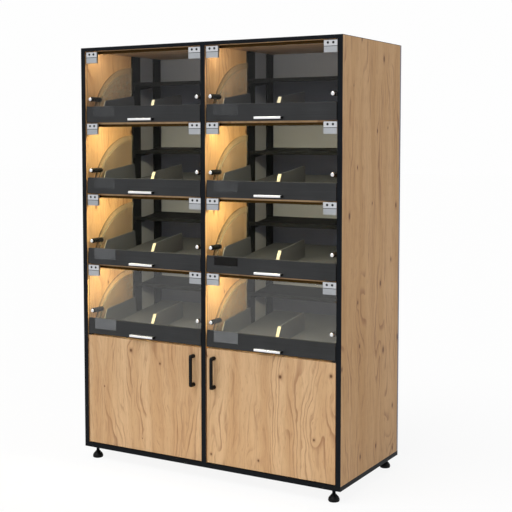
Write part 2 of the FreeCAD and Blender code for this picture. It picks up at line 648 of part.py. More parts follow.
# Doors
def door_pin_x(side):
    left = f"({BAY_LEFT[side]} + door_side_gap)"
    if side == "left":
        return f"({left} + door_pin_inset)"
    return f"({left} + {DOOR_WIDTH} - door_pin_inset)"


def make_door(side):
    """A cupboard door bored for its two pivot pins, and its bow handle."""
    name = f"door_{side}"
    left = f"({BAY_LEFT[side]} + door_side_gap)"
    pin_y = f"({DOOR_FACE} + door_pin_setback)"
    bore_size = "door_pin_diameter + 2 * pivot_clearance"
    bore_length = "(door_pin_reach + bore_end_gap)"
    whole = block(name + "_whole", DOOR_WIDTH, "door_thickness", f"{DOOR_HEAD} - {DOOR_FOOT}",
                  left, DOOR_FACE, DOOR_FOOT)
    bores = [
        rod(name + "_lower_bore", bore_size, bore_length, door_pin_x(side), pin_y, DOOR_FOOT),
        rod(name + "_upper_bore", bore_size, bore_length, door_pin_x(side), pin_y,
            f"{DOOR_HEAD} - {bore_length}"),
    ]
    node(name + "_panel", [cut(name + "_bored", whole, bores)])
    if side == "left":
        bar_x = f"({left} + {DOOR_WIDTH} - pull_inset - pull_bar / 2)"
    else:
        bar_x = f"({left} + pull_inset - pull_bar / 2)"
    pull_front = f"({DOOR_FACE} - pull_projection)"
    pull_foot = f"({DOOR_HEAD} - pull_drop - pull_length)"
    outside = block(name + "_pull_outside", "pull_bar", "pull_projection", "pull_length",
                    bar_x, pull_front, pull_foot)
    inside = block(name + "_pull_inside",
                   "pull_bar", "pull_projection - pull_bar", "pull_length - 2 * pull_bar",
                   bar_x, f"{pull_front} + pull_bar", f"{pull_foot} + pull_bar")
    node(name + "_handle", [cut(name + "_bow", outside, [inside])])


# Pivots that stay with the carcass
def make_pivots():
    """A flanged pin for every hinge clamp, and a pin at the foot and head of each door."""
    pins = []
    flap_pin_length = "(flap_side_gap + pivot_reach)"
    for tier in TIERS:
        z = f"({flap_top(tier)} - pivot_drop)"
        for side in SIDES:
            for wall in SIDES:
                tag = f"flap_{tier}_{side}_{wall}_pivot"
                face = BAY_LEFT[side] if wall == "left" else f"({BAY_LEFT[side]} + {BAY_WIDTH})"
                flange_x = face if wall == "left" else f"({face} - flange_thickness)"
                pin_x = face if wall == "left" else f"({face} - {flap_pin_length})"
                pins.append(joined(tag, [
                    rod(tag + "_flange", "flange_diameter", "flange_thickness",
                        flange_x, FLAP_MIDDLE, z, ALONG_X),
                    rod(tag + "_pin", "pivot_diameter", flap_pin_length, pin_x, FLAP_MIDDLE, z, ALONG_X),
                ]))
    for side in SIDES:
        pins += make_door_pivots(side)
    node("pivot_pins", pins)


def make_door_pivots(side):
    """The lower pin stands on the base frame; the upper one hangs from a plate on the side panel."""
    name = f"door_{side}_pivot"
    x = door_pin_x(side)
    y = f"({DOOR_FACE} + door_pin_setback)"
    reach = "(door_bottom_gap + door_pin_reach)"
    lower = joined(name + "_lower", [
        rod(name + "_flange", "door_flange_diameter", "flange_thickness", x, y, FRAME_TOP),
        rod(name + "_lower_pin", "door_pin_diameter", reach, x, y, FRAME_TOP),
    ])
    plate_length = "(door_side_gap + door_pin_inset + door_pin_diameter)"
    if side == "left":
        plate_x = BAY_LEFT[side]
    else:
        plate_x = f"({BAY_LEFT[side]} + {BAY_WIDTH} - {plate_length})"
    plate_z = f"({DOOR_HEAD} + (door_top_gap - door_plate_thickness) / 2)"
    upper = joined(name + "_upper", [
        block(name + "_plate", plate_length, "door_plate_width", "door_plate_thickness",
              plate_x, f"{y} - door_plate_width / 2", plate_z),
        rod(name + "_upper_pin", "door_pin_diameter", f"{plate_z} - {DOOR_HEAD} + door_pin_reach",
            x, y, f"{DOOR_HEAD} - door_pin_reach"),
    ])
    return [lower, upper]


def write_parts():
    """Check every feature and every sub-part, then write one file for each sub-part."""
    doc.recompute()
    failed = [item.Label for item in doc.Objects if "Invalid" in item.State or "Error" in item.State]
    faulty = [part.Label for part in subparts if part.Shape.isNull() or not part.Shape.isValid()]
    if failed or faulty:
        raise RuntimeError(f"failed features: {failed}; faulty sub-parts: {faulty}")
    os.makedirs("parts", exist_ok=True)
    for part in subparts:
        part.Shape.exportStep(f"parts/{part.Label}.step")
        print(part.Label, len(part.Shape.Solids), round(part.Shape.Volume))


make_carcass()
make_base()
make_bays()
for tier in TIERS:
    for side in SIDES:
        make_flap(tier, side)
for side in SIDES:
    make_door(side)
make_pivots()
write_parts()
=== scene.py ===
"""Looks of a self-service bakery display unit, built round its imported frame.

The unit stands on the floor with its customers on the -Y side. Everything is in metres, and sizes that
are written here in millimetres are multiplied by MM.
"""

import logging
import math
from dataclasses import dataclass, field
from enum import Enum

import bmesh
import bpy
from mathutils import Matrix, Vector


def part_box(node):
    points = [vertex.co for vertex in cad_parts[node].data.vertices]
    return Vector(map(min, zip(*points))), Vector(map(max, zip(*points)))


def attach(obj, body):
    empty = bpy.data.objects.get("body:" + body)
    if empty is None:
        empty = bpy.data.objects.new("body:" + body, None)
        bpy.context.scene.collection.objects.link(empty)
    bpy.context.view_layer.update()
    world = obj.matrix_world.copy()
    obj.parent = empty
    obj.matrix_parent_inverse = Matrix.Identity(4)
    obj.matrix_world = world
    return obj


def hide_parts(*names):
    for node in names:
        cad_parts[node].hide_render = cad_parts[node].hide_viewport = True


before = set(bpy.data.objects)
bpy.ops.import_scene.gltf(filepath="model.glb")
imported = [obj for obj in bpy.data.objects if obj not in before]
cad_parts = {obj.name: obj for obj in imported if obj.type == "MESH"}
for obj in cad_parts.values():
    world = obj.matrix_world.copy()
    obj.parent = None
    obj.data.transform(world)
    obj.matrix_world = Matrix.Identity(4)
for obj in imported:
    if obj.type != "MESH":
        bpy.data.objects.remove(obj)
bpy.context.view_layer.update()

Tree = bpy.types.NodeTree
Socket = bpy.types.NodeSocket
Sockets = bpy.types.bpy_prop_collection
Span = tuple[float, float]
Triple = tuple[float, float, float]
Outline = tuple[Span, ...] | list[Span]

MM = 0.001
TIERS = (1, 2, 3, 4)
SIDES = ("left", "right")
UP = Vector((0, 0, 1))
FRONT = Vector((0, -1, 0))
BACK = Vector((0, 1, 0))
log = logging.getLogger("bakery_display_unit")


def linear(colour: str) -> tuple[float, float, float, float]:
    """Turns a colour as written into the light that a shader works with.

    Args:
        colour: sRGB hex value, such as "#CDAA7D".

    Returns:
        Linear red, green, blue and an alpha of 1.
    """
    shares = [int(colour[place:place + 2], 16) / 255 for place in (1, 3, 5)]
    light = [c / 12.92 if c <= 0.04045 else ((c + 0.055) / 1.055) ** 2.4 for c in shares]
    return light[0], light[1], light[2], 1.0


def add_node(tree: Tree, kind: str, inputs: tuple | dict = (), **settings: object) -> Sockets:
    """Adds a node with its settings, values and links.

    Args:
        tree: node tree that gets the node.
        kind: the node's type, without the ShaderNode that it starts with.
        inputs: the first inputs in order, or inputs by name or number; sockets are linked, values set.
        settings: properties of the node itself.

    Returns:
        The node's outputs.
    """
    node = tree.nodes.new("ShaderNode" + kind)
    for name, value in settings.items():
        setattr(node, name, value)
    for key, value in inputs.items() if isinstance(inputs, dict) else enumerate(inputs):
        if isinstance(value, Socket):
            tree.links.new(value, node.inputs[key])
        else:
            node.inputs[key].default_value = value
    return node.outputs


def bare_tree(holder: bpy.types.Material | bpy.types.World) -> Tree:
    """Switches on the nodes of a material or world and takes out the ones that it comes with.

    Args:
        holder: the material or world.

    Returns:
        Its empty node tree.
    """
    holder.use_nodes = True
    holder.node_tree.nodes.clear()
    return holder.node_tree


def per_metre(size_mm: Triple) -> Triple:
    """Turns the size of a pattern's marks into how many of them go into a metre."""
    return tuple(1 / (size * MM) for size in size_mm)


def in_scene(name: str, data: bpy.types.ID) -> bpy.types.Object:
    """Puts a mesh, lamp or camera in the scene.

    Args:
        name: the new object's name.
        data: what it shows.

    Returns:
        The object.
    """
    made = bpy.data.objects.new(name, data)
    bpy.context.scene.collection.objects.link(made)
    return made


# Finishes

class BoardFace(Enum):
    """Which way a board's grain runs: rows that turn x, y, z into across, along and through the board."""

    SIDE = ((0, 1, 0), (0, 0, 1), (1, 0, 0))
    DOOR = ((1, 0, 0), (0, 0, 1), (0, -1, 0))
    FLAT = ((0, -1, 0), (1, 0, 0), (0, 0, 1))


@dataclass(frozen=True)
class Finish:
    """A surface finish: its material's name and the name of the slot that it belongs to."""

    name: str
    slot: str

    def material(self) -> bpy.types.Material:
        """Makes the finish's material, or finds it if it is made already.

        Returns:
            The material, with one Principled shader.
        """
        made = bpy.data.materials.get(self.name)
        if made is None:
            made = bpy.data.materials.new(self.name)
            tree = bare_tree(made)
            place = add_node(tree, "TexCoord")["Object"]
            shader = add_node(tree, "BsdfPrincipled", self.dress(tree, place))
            add_node(tree, "OutputMaterial", (shader[0],))
        return made

    def dress(self, tree: Tree, place: Socket) -> dict:
        """Works out the shader's inputs; every kind of finish has its own way."""
        raise NotImplementedError


@dataclass(frozen=True)
class GrainLayer:
    """One layer of a grain: its marks' size across, along and through the board, and their strength."""

    size_mm: Triple
    detail: float
    limits: Span
    strength: Span

    def draw(self, tree: Tree, place: Socket) -> Socket:
        """Draws the marks as stretched noise and keeps what rises between the limits.

        Args:
            tree: the material's nodes.
            place: coordinates on the board.

        Returns:
            How strongly the layer shows.
        """
        sized = add_node(tree, "VectorMath", (place, per_metre(self.size_mm)), operation="MULTIPLY")[0]
        noise = add_node(tree, "TexNoise", {"Vector": sized, "Scale": 1.0, "Detail": self.detail})[0]
        show = (noise, *self.limits, *self.strength)
        return add_node(tree, "MapRange", show, interpolation_type="SMOOTHSTEP")[0]


@dataclass(frozen=True)
class OakBoard(Finish):
    """Melamine-faced board with a printed oak grain: wavy growth lines, fine fibres, pores and pin knots.

    A knot's pull, halo and core each hold where they start, where they are full, and how strong they get.
    """

    face: BoardFace
    pale: str = "#D7B48C"
    mid: str = "#C8A178"
    line: str = "#8A5B3E"
    knot: str = "#57351F"
    print_start: Triple = (0.37, 0.21, 0)
    ring_mm: float = 27
    flanks: tuple[Span, Span] = ((0.57, 0.92), (1.0, 0.93))
    knot_mm: Triple = (250, 300, 230)
    knot_chance: Span = (0.1, 1.0)
    knot_share: Span = (0.007, 0.027)
    pull: Triple = (0.16, 0.0, 0.45)
    halo: Triple = (2.6, 0.9, 0.35)
    core: Triple = (1.35, 0.5, 0.85)
    wander: GrainLayer = GrainLayer((240, 800, 500), 1.0, (0.2, 0.8), (-0.020, 0.020))
    wobble: GrainLayer = GrainLayer((40, 110, 60), 1.5, (0.2, 0.8), (-0.007, 0.007))
    swell: GrainLayer = GrainLayer((120, 460, 300), 1.0, (0.2, 0.8), (0.0, 3.6))
    patch: GrainLayer = GrainLayer((62, 400, 200), 1.0, (0.45, 0.66), (0.05, 0.62))
    band: GrainLayer = GrainLayer((60, 1500, 300), 2.0, (0.30, 0.70), (0.0, 1.0))
    streak: GrainLayer = GrainLayer((12, 150, 60), 2.0, (0.54, 0.79), (0.0, 0.38))
    fibre: GrainLayer = GrainLayer((4, 180, 30), 3.0, (0.40, 0.80), (0.0, 0.22))
    pore: GrainLayer = GrainLayer((2.2, 40, 12), 1.0, (0.60, 0.74), (0.0, 0.36))
    dulled: Span = (0.0, 0.2)
    rough: Span = (0.46, 0.60)
    sunk_share: float = -0.6
    relief: float = 0.35
    relief_mm: float = 0.3
    shine: float = 0.15

    def dress(self, tree: Tree, place: Socket) -> dict:
        """Lays the grain's layers over each other, along the board and bent round its knots.

        Args:
            tree: the material's nodes.
            place: object coordinates.

        Returns:
            The shader's inputs.
        """
        turn = Matrix(self.face.value).to_euler()
        laid = {"Vector": place, "Rotation": turn, "Location": self.print_start}
        board = add_node(tree, "Mapping", laid)[0]
        # The log's own wander bends every finer pattern sideways
        sways = (self.wander.draw(tree, board), self.wobble.draw(tree, board))
        sway = add_node(tree, "Math", sways, operation="ADD")[0]
        shift = add_node(tree, "CombineXYZ", (sway,))[0]
        bent = add_node(tree, "VectorMath", (board, shift))[0]
        pull, halo, core = self.knots(tree, board)
        lines = self.growth_lines(tree, bent, pull)
        fibres = self.fibre.draw(tree, bent)
        pores = self.pore.draw(tree, bent)
        ground = {0: self.band.draw(tree, bent), 6: linear(self.pale), 7: linear(self.mid)}
        tones = add_node(tree, "Mix", ground, data_type="RGBA")[2]
        marks = ((fibres, self.line), (self.streak.draw(tree, bent), self.line), (lines, self.line),
                 (pores, self.line), (halo, self.line), (core, self.knot))
        for share, colour in marks:
            over = {0: share, 6: tones, 7: linear(colour)}
            tones = add_node(tree, "Mix", over, data_type="RGBA")[2]
        sunk = add_node(tree, "Math", (pores, lines), operation="ADD")[0]
        height = add_node(tree, "Math", (sunk, self.sunk_share, fibres), operation="MULTIPLY_ADD")[0]
        bump = {"Height": height, "Strength": self.relief, "Distance": self.relief_mm * MM}
        return {"Base Color": tones, "Specular IOR Level": self.shine,
                "Roughness": add_node(tree, "MapRange", (fibres, *self.dulled, *self.rough))[0],
                "Normal": add_node(tree, "Bump", bump)[0]}

    def knots(self, tree: Tree, board: Socket) -> tuple[Socket, ...]:
        """Scatters pin knots over the board, each with its own size; some are hardly there.

        Args:
            tree: the material's nodes.
            board: coordinates on the board.

        Returns:
            How far each point's growth lines are pushed aside, the knots' soft rings and their dark cores.
        """
        cell = add_node(tree, "VectorMath", (board, per_metre(self.knot_mm)), operation="MULTIPLY")[0]
        scatter = {"Vector": cell, "Scale": 1.0, "Randomness": 1.0}
        cells = add_node(tree, "TexVoronoi", scatter, voronoi_dimensions="2D")
        away = cells["Distance"]
        chance = add_node(tree, "SeparateColor", (cells["Color"],))[0]
        size = add_node(tree, "MapRange", (chance, *self.knot_chance, *self.knot_share))[0]
        reach = add_node(tree, "Math", (away, size), operation="DIVIDE")[0]
        shares = []
        for level, (far, near, full) in ((away, self.pull), (reach, self.halo), (reach, self.core)):
            show = (level, far, near, 0.0, full)
            shares.append(add_node(tree, "MapRange", show, interpolation_type="SMOOTHSTEP")[0])
        return tuple(shares)

    def growth_lines(self, tree: Tree, bent: Socket, pull: Socket) -> Socket:
        """Draws the growth lines: some centimetres apart, swollen into arches, printed in patches only.

        Args:
            tree: the material's nodes.
            bent: coordinates on the board, bent by the log's wander.
            pull: how far the knots push the lines aside.

        Returns:
            How dark the lines are.
        """
        across = add_node(tree, "SeparateXYZ", (bent,))[0]
        steps = (across, 1 / (self.ring_mm * MM), self.swell.draw(tree, bent))
        swollen = add_node(tree, "Math", steps, operation="MULTIPLY_ADD")[0]
        level = add_node(tree, "Math", (swollen, pull), operation="ADD")[0]
        ring = add_node(tree, "Math", (level,), operation="FRACT")[0]
        # Each line darkens slowly on one flank and stops short on the other
        dark = self.patch.draw(tree, bent)
        for flank in self.flanks:
            rise = add_node(tree, "MapRange", (ring, *flank), interpolation_type="SMOOTHSTEP")[0]
            dark = add_node(tree, "Math", (dark, rise), operation="MULTIPLY")[0]
        return dark


@dataclass(frozen=True)
class FineTexture(Finish):
    """A finish whose surface is one fine texture: coated, moulded, laminated, brushed or polished."""

    dark: str
    light: str
    grain_mm: Triple
    detail: float
    rough: Span
    relief_mm: float
    metallic: float = 0.0
    coat: float = 0.0
    alpha: float = 1.0
    shine: float = 0.5
    relief: float = 0.5
    broad_mm: float = 130
    broad_detail: float = 2.0
    spread: Span = (0.65, 1.35)

    def dress(self, tree: Tree, place: Socket) -> dict:
        """Mixes two near colours by the grain, which also sets gloss and relief, under an uneven sheen.

        Args:
            tree: the material's nodes.
            place: object coordinates.

        Returns:
            The shader's inputs.
        """
        sized = add_node(tree, "VectorMath", (place, per_metre(self.grain_mm)), operation="MULTIPLY")[0]
        grain = add_node(tree, "TexNoise", {"Vector": sized, "Scale": 1.0, "Detail": self.detail})[0]
        uneven = {"Vector": place, "Scale": 1 / (self.broad_mm * MM), "Detail": self.broad_detail}
        broad = add_node(tree, "TexNoise", uneven)[0]
        both = add_node(tree, "Math", (grain, broad), operation="ADD")[0]
        share = add_node(tree, "MapRange", (both, *self.spread))[0]
        colours = {0: share, 6: linear(self.dark), 7: linear(self.light)}
        bump = {"Height": grain, "Strength": self.relief, "Distance": self.relief_mm * MM}
        return {"Base Color": add_node(tree, "Mix", colours, data_type="RGBA")[2],
                "Roughness": add_node(tree, "MapRange", (both, *self.spread, *self.rough))[0],
                "Normal": add_node(tree, "Bump", bump)[0], "Metallic": self.metallic,
                "Coat Weight": self.coat, "Alpha": self.alpha, "Specular IOR Level": self.shine}


@dataclass(frozen=True)
class AcrylicSheet(Finish):
    """Cast acrylic sheet: clear right through, with faint wiping marks in its gloss."""

    ior: float
    tint: str = "#EEF0F1"
    rough: Span = (0.0, 0.025)
    wipe_mm: Triple = (111.111, 111.111, 38.4615)
    detail: float = 4.0
    marks: Span = (0.45, 0.75)

    def dress(self, tree: Tree, place: Socket) -> dict:
        """Sets the glass and draws the wiping marks into its gloss.

        Args:
            tree: the material's nodes.
            place: object coordinates.

        Returns:
            The shader's inputs.
        """
        sized = add_node(tree, "VectorMath", (place, per_metre(self.wipe_mm)), operation="MULTIPLY")[0]
        wiped = add_node(tree, "TexNoise", {"Vector": sized, "Scale": 1.0, "Detail": self.detail})[0]
        return {"Base Color": linear(self.tint), "Transmission Weight": 1.0, "IOR": self.ior,
                "Roughness": add_node(tree, "MapRange", (wiped, *self.marks, *self.rough))[0]}


@dataclass(frozen=True)
class GlowDiffuser(Finish):
    """Opal diffuser over a row of warm diodes: each diode makes a slightly brighter patch."""

    warm: str = "#FFEEAE"
    bright: str = "#FFF7D2"
    strength: float = 125
    pitch_mm: float = 33
    opal: str = "#F2E7D2"
    rough: float = 0.45

    def dress(self, tree: Tree, place: Socket) -> dict:
        """Lets the diffuser glow, brighter over each diode.

        Args:
            tree: the material's nodes.
            place: object coordinates.

        Returns:
            The shader's inputs.
        """
        along = add_node(tree, "SeparateXYZ", (place,))[0]
        pitches = (along, math.tau / (self.pitch_mm * MM))
        turns = add_node(tree, "Math", pitches, operation="MULTIPLY")[0]
        wave = add_node(tree, "Math", (turns,), operation="SINE")[0]
        share = add_node(tree, "MapRange", (wave, -1.0))[0]
        colours = {0: share, 6: linear(self.warm), 7: linear(self.bright)}
        return {"Emission Color": add_node(tree, "Mix", colours, data_type="RGBA")[2],
                "Emission Strength": self.strength, "Base Color": linear(self.opal),
                "Roughness": self.rough}


# Printed oak on melamine board: a soft satin face, the grain along each board's length
OAK_SIDE = OakBoard(
    "oak_grained_board_upright", "oak_board", BoardFace.SIDE, "#D2AA7D", "#C59B6C",
    knot_mm=(170, 330, 230), knot_share=(0.014, 0.044),
    patch=GrainLayer((50, 360, 200), 1.0, (0.47, 0.64), (0.06, 0.58)))
OAK_DOOR = OakBoard("oak_grained_board_door", "oak_board", BoardFace.DOOR)
OAK_FLAT = OakBoard("oak_grained_board_level", "oak_board", BoardFace.FLAT)
# A fine texture gives its colours, grain in mm, detail, roughness range, relief in mm and metallic share
# Pearl-textured melamine: tiny dimples, drawn at 4 mm so that they show, and an even dull sheen
GREY_BOARD = FineTexture(
    "grey_melamine_board", "grey_board", "#7F828E", "#8A8D99", (4, 4, 4), 2, (0.5, 0.62), 0.12, shine=0.25)
BLACK_BOARD = FineTexture(
    "black_melamine_board", "black_board", "#3D4047", "#494C54", (4, 4, 4), 2, (0.46, 0.58), 0.05,
    shine=0.2)
# The boards of the uprights and upper trays are the same board in a deeper black: painted shade
BLACK_BOARD_PAINTED_SHADE = FineTexture(
    "black_melamine_board_painted_shade", "black_board", "#07080A", "#0E1013", (4, 4, 4), 2, (0.46, 0.58), 0.05,
    shine=0.05)
# ABS edge band, rolled on: a smooth satin with faint lengthwise drawing marks
BLACK_EDGING = FineTexture(
    "black_abs_edge_band", "black_edging", "#0A0D11", "#14181E", (8, 8, 160), 3, (0.4, 0.52), 0.04,
    shine=0.08)
# Powder coat on steel: an orange-peel skin about 3 mm across, half gloss
POWDER_COAT = FineTexture(
    "black_powder_coated_steel", "black_steel", "#090B0E", "#14171B", (3, 3, 3), 1, (0.44, 0.58), 0.18,
    shine=0.08)
# Charcoal anodised aluminium extrusion: die lines run along it
CHARCOAL_RAIL = FineTexture(
    "charcoal_anodised_aluminium", "black_steel", "#28292A", "#343537", (220, 2.5, 2.5), 3, (0.38, 0.5),
    0.03, shine=0.2)
# Glass-filled nylon, moulded in an etched tool: a fine even matt grain
MOULDED_BLACK = FineTexture(
    "moulded_black_nylon", "black_plastic", "#050506", "#0C0C0E", (1.6, 1.6, 1.6), 2, (0.42, 0.58), 0.06,
    shine=0.15)
# Moulded rubber: dull, with a dusty bloom that lightens it unevenly
RUBBER = FineTexture(
    "moulded_black_rubber", "black_rubber", "#080808", "#121212", (5, 5, 5), 3, (0.5, 0.66), 0.06,
    shine=0.2)
# Satin anodised aluminium: bright, with brush lines along the bar
ALUMINIUM = FineTexture(
    "satin_anodised_aluminium", "aluminium", "#E2E3E5", "#F4F4F5", (90, 1.4, 1.4), 2, (0.24, 0.36), 0.02,
    1.0)
# Bronze anodised aluminium channel: warm and dark, extrusion lines along it
BRONZE = FineTexture(
    "bronze_anodised_aluminium", "aluminium", "#35260F", "#463319", (120, 2, 2), 2, (0.35, 0.48), 0.02, 1.0)
# Polished zinc casting with bright chrome plate: mirror gloss, faint finger marks
CHROME = FineTexture(
    "bright_chrome_plate", "steel", "#D5D7DA", "#E6E7E9", (24, 24, 24), 3, (0.05, 0.14), 0.01, 1.0)
# Ground steel: brush lines across the plate, soft highlights
BRIGHT_STEEL = FineTexture(
    "brushed_bright_steel", "steel", "#BFC1C5", "#D2D4D7", (60, 1.2, 1.2), 2, (0.26, 0.38), 0.02, 1.0)
# Bead-blasted steel: an even satin without lines
SATIN_STEEL = FineTexture(
    "bead_blasted_satin_steel", "steel", "#9DA0A4", "#B9BCC0", (1.5, 1.5, 1.5), 2, (0.42, 0.54), 0.03, 1.0)
# Black-oxide screw steel: nearly black with an oily half gloss
BLACK_OXIDE = FineTexture(
    "black_oxide_screw_steel", "black_steel", "#15161A", "#26282C", (2, 2, 2), 2, (0.3, 0.42), 0.02, 0.6)
# Cast acrylic, polished faces: lightly smoked flaps, all but the lowest coated against glare
SMOKED = {tier: AcrylicSheet(f"smoked_cast_acrylic_{tier}", "smoked_acrylic", ior)
          for tier, ior in ((1, 1.18), (2, 1.10), (3, 1.10), (4, 1.47))}
# Frosted guard sheet with a dull face; its grey veil is painted shade on the wall behind it, set row by
# row: lighter and warmer in the top row, darkest and densest in the lowest
HAZY_GUARDS_PAINTED_SHADE = [FineTexture(f"frosted_guard_acrylic_and_painted_shade_{tier}", "clear_acrylic", dark, light, (14, 14, 14), 3,
                    (0.2, 0.34), 0.02, alpha=alpha)
        for tier, dark, light, alpha in ((1, "#B3AA9A", "#C4BCAD", 0.42), (2, "#857F76", "#989186", 0.42),
                                         (3, "#857F76", "#989186", 0.42), (4, "#736F6A", "#827E78", 0.60))]
# The guard's raised rim: its pale face is a painted highlight
RIM_PAINTED_HIGHLIGHT = FineTexture(
    "guard_rim_painted_highlight", "clear_acrylic", "#BFAE8E", "#D8C9A9", (14, 14, 14), 3, (0.1, 0.2), 0.02,
    coat=0.5, alpha=0.40)
# The rim's dark brown edges are painted shade
RIM_EDGE_PAINTED_SHADE = FineTexture(
    "guard_rim_edge_painted_shade", "clear_acrylic", "#5A4A33", "#75634A", (14, 14, 14), 3, (0.12, 0.22), 0.02,
    coat=0.5, alpha=0.80)
# Acrylic edge, dull: its pale colour is a painted glow for the light that a clear edge gathers
EDGE_PAINTED_GLOW = FineTexture(
    "acrylic_edge_painted_glow", "clear_acrylic", "#A9A28C", "#C2BBA6", (1.5, 1.5, 6), 2, (0.35, 0.5), 0.05)
# Extruded PVC ticket strip: cream, smooth, with drawing lines along it
TICKET_STRIP = FineTexture(
    "cream_pvc_ticket_strip", "clear_acrylic", "#CBBF9C", "#D9CEAF", (3, 3, 60), 2, (0.3, 0.42), 0.03,
    shine=0.3)
# Blank black card: uncoated fibre, quite dull
BLACK_CARD = FineTexture(
    "blank_black_card", "black_plastic", "#0B0908", "#151210", (1.2, 1.2, 1.2), 3, (0.7, 0.85), 0.04,
    shine=0.1)
# PVC pockets: a grey film over what is behind it; its grey, denser in the lower rows, is a painted sheen; 0
# is the pocket with the card
POCKET_FILMS_AND_SHEEN = {tier: FineTexture(f"pvc_pocket_film_and_painted_sheen_{tier}", "clear_acrylic", "#84878B", "#9DA0A4", (26, 26, 26),
                             3, (0.14, 0.28), 0.03, coat=0.2, alpha=alpha)
           for tier, alpha in ((0, 0.01), (1, 0.03), (2, 0.03), (3, 0.13), (4, 0.22))}
# Opal light strips: the top row is run dimmer than the rows below it
GLOWS = [GlowDiffuser("warm_opal_diffuser", "clear_acrylic"),
         GlowDiffuser("dimmed_opal_diffuser", "clear_acrylic", "#FFF0CC", "#FFF7E2", 54)]


# Shapes

class Shape:
    """A mesh under construction, made of closed shapes that each carry the number of their finish."""

    sharp = math.radians(40)
    smooth = math.radians(50)
    merge = 0.01 * MM

    def __init__(self) -> None:
        """Starts an empty mesh."""
        self.bm = bmesh.new()

    def fresh(self, before: set) -> list:
        """Lists the faces that are new since before."""
        return [face for face in self.bm.faces if face not in before]

    def mark(self, before: set, finish: int) -> list:
        """Gives new faces the number of their finish.

        Args:
            before: the faces that were there already.
            finish: the number.

        Returns:
            The new faces.
        """
        fresh = self.fresh(before)
        for face in fresh:
            face.material_index = finish
        return fresh

    def soften(self, edges: list, radius_mm: float, segments: int) -> None:
        """Rounds the given edges."""
        bmesh.ops.bevel(self.bm, geom=edges, offset=radius_mm * MM, offset_type="OFFSET", affect="EDGES",
                        segments=segments, profile=0.5, material=-1, clamp_overlap=True)

    def soften_all(self, verts: list, radius_mm: float, segments: int) -> None:
        """Rounds every edge that meets the given corners."""
        self.soften(list({edge for vert in verts for edge in vert.link_edges}), radius_mm, segments)

    def draw_out(self, faces: list, length: float) -> None:
        """Draws faces out sideways along X.

        Args:
            faces: flat faces of one outline.
            length: how far they are drawn.
        """
        drawn = bmesh.ops.extrude_face_region(self.bm, geom=faces)["geom"]
        moved = [item for item in drawn if isinstance(item, bmesh.types.BMVert)]
        bmesh.ops.translate(self.bm, verts=moved, vec=(length, 0, 0))

    def block(self, low: Triple, high: Triple, finish: int, edge_mm: float, segments: int = 2) -> None:
        """Adds a bar, plate or sheet with softened edges.

        Args:
            low: lowest corner.
            high: highest corner.
            finish: number of its finish.
            edge_mm: rounding of all its edges.
            segments: steps of the rounding.
        """
        before = set(self.bm.faces)
        first, last = Vector(low), Vector(high)
        place = Matrix.Translation((first + last) / 2) @ Matrix.Diagonal((*(last - first), 1))
        made = bmesh.ops.create_cube(self.bm, size=1, matrix=place)
        if edge_mm:
            self.soften_all(made["verts"], edge_mm, segments)
        self.mark(before, finish)

    def profile(self, outline: Outline, start: float, end: float, finish: int, edge_mm: float,
                rounds: dict[int, float] | None = None, segments: int = 3) -> list:
        """Adds a shape of one outline, drawn out sideways along X.

        Args:
            outline: corners as y and z.
            start: x of the first end.
            end: x of the other end.
            finish: number of its finish.
            edge_mm: softening of the edges that stay sharp.
            rounds: larger roundings in millimetres, by corner number.
            segments: steps of the larger roundings.

        Returns:
            The new faces.
        """
        before = set(self.bm.faces)
        first = [self.bm.verts.new((start, y, z)) for y, z in outline]
        self.draw_out([self.bm.faces.new(first)], end - start)
        long_edges = {number: edge for number, vert in enumerate(first) for edge in vert.link_edges
                      if abs(edge.verts[0].co.x - edge.verts[1].co.x) > self.merge}
        for number, radius in (rounds or {}).items():
            self.soften([long_edges[number]], radius, segments)
        if edge_mm:
            edges = {edge for face in self.fresh(before) for edge in face.edges if edge.is_manifold}
            self.soften([edge for edge in edges if edge.calc_face_angle(0.0) > self.sharp], edge_mm, 2)
        return self.mark(before, finish)

    def turned(self, outline: Outline, foot: Vector, axis: Vector, finish: int, steps: int = 28) -> None:
        """Adds a piece turned on a lathe, closed at its foot.

        Args:
            outline: radius and height pairs in millimetres, from the foot to the top.
            foot: where the axis starts.
            axis: direction of the axis.
            finish: number of its finish.
            steps: sides of the round.
        """
        before = set(self.bm.faces)
        place = Matrix.Translation(foot) @ UP.rotation_difference(axis).to_matrix().to_4x4()
        closed = outline if outline[0][0] == 0 else [(0, outline[0][1]), *outline]
        points = [place @ (Vector((radius, 0, height)) * MM) for radius, height in closed]
        verts = [self.bm.verts.new(point) for point in points]
        edges = [self.bm.edges.new(pair) for pair in zip(verts, verts[1:])]
        bmesh.ops.spin(self.bm, geom=verts + edges, cent=foot, axis=axis, dvec=(0, 0, 0),
                       angle=math.tau, steps=steps, use_merge=True)
        doubles = {vert for face in self.fresh(before) for vert in face.verts}
        bmesh.ops.remove_doubles(self.bm, verts=list(doubles), dist=self.merge)
        self.mark(before, finish)

    def nut(self, foot: Vector, width: float, height: float, finish: int, edge_mm: float) -> None:
        """Adds an upright six-sided nut with softened edges.

        Args:
            foot: middle of its lower face.
            width: width across its corners.
            height: its height.
            finish: number of its finish.
            edge_mm: rounding of its edges.
        """
        before = set(self.bm.faces)
        place = Matrix.Translation(foot + UP * height / 2)
        made = bmesh.ops.create_cone(self.bm, cap_ends=True, segments=6, radius1=width / 2,
                                     radius2=width / 2, depth=height, matrix=place)
        self.soften_all(made["verts"], edge_mm, 2)
        self.mark(before, finish)

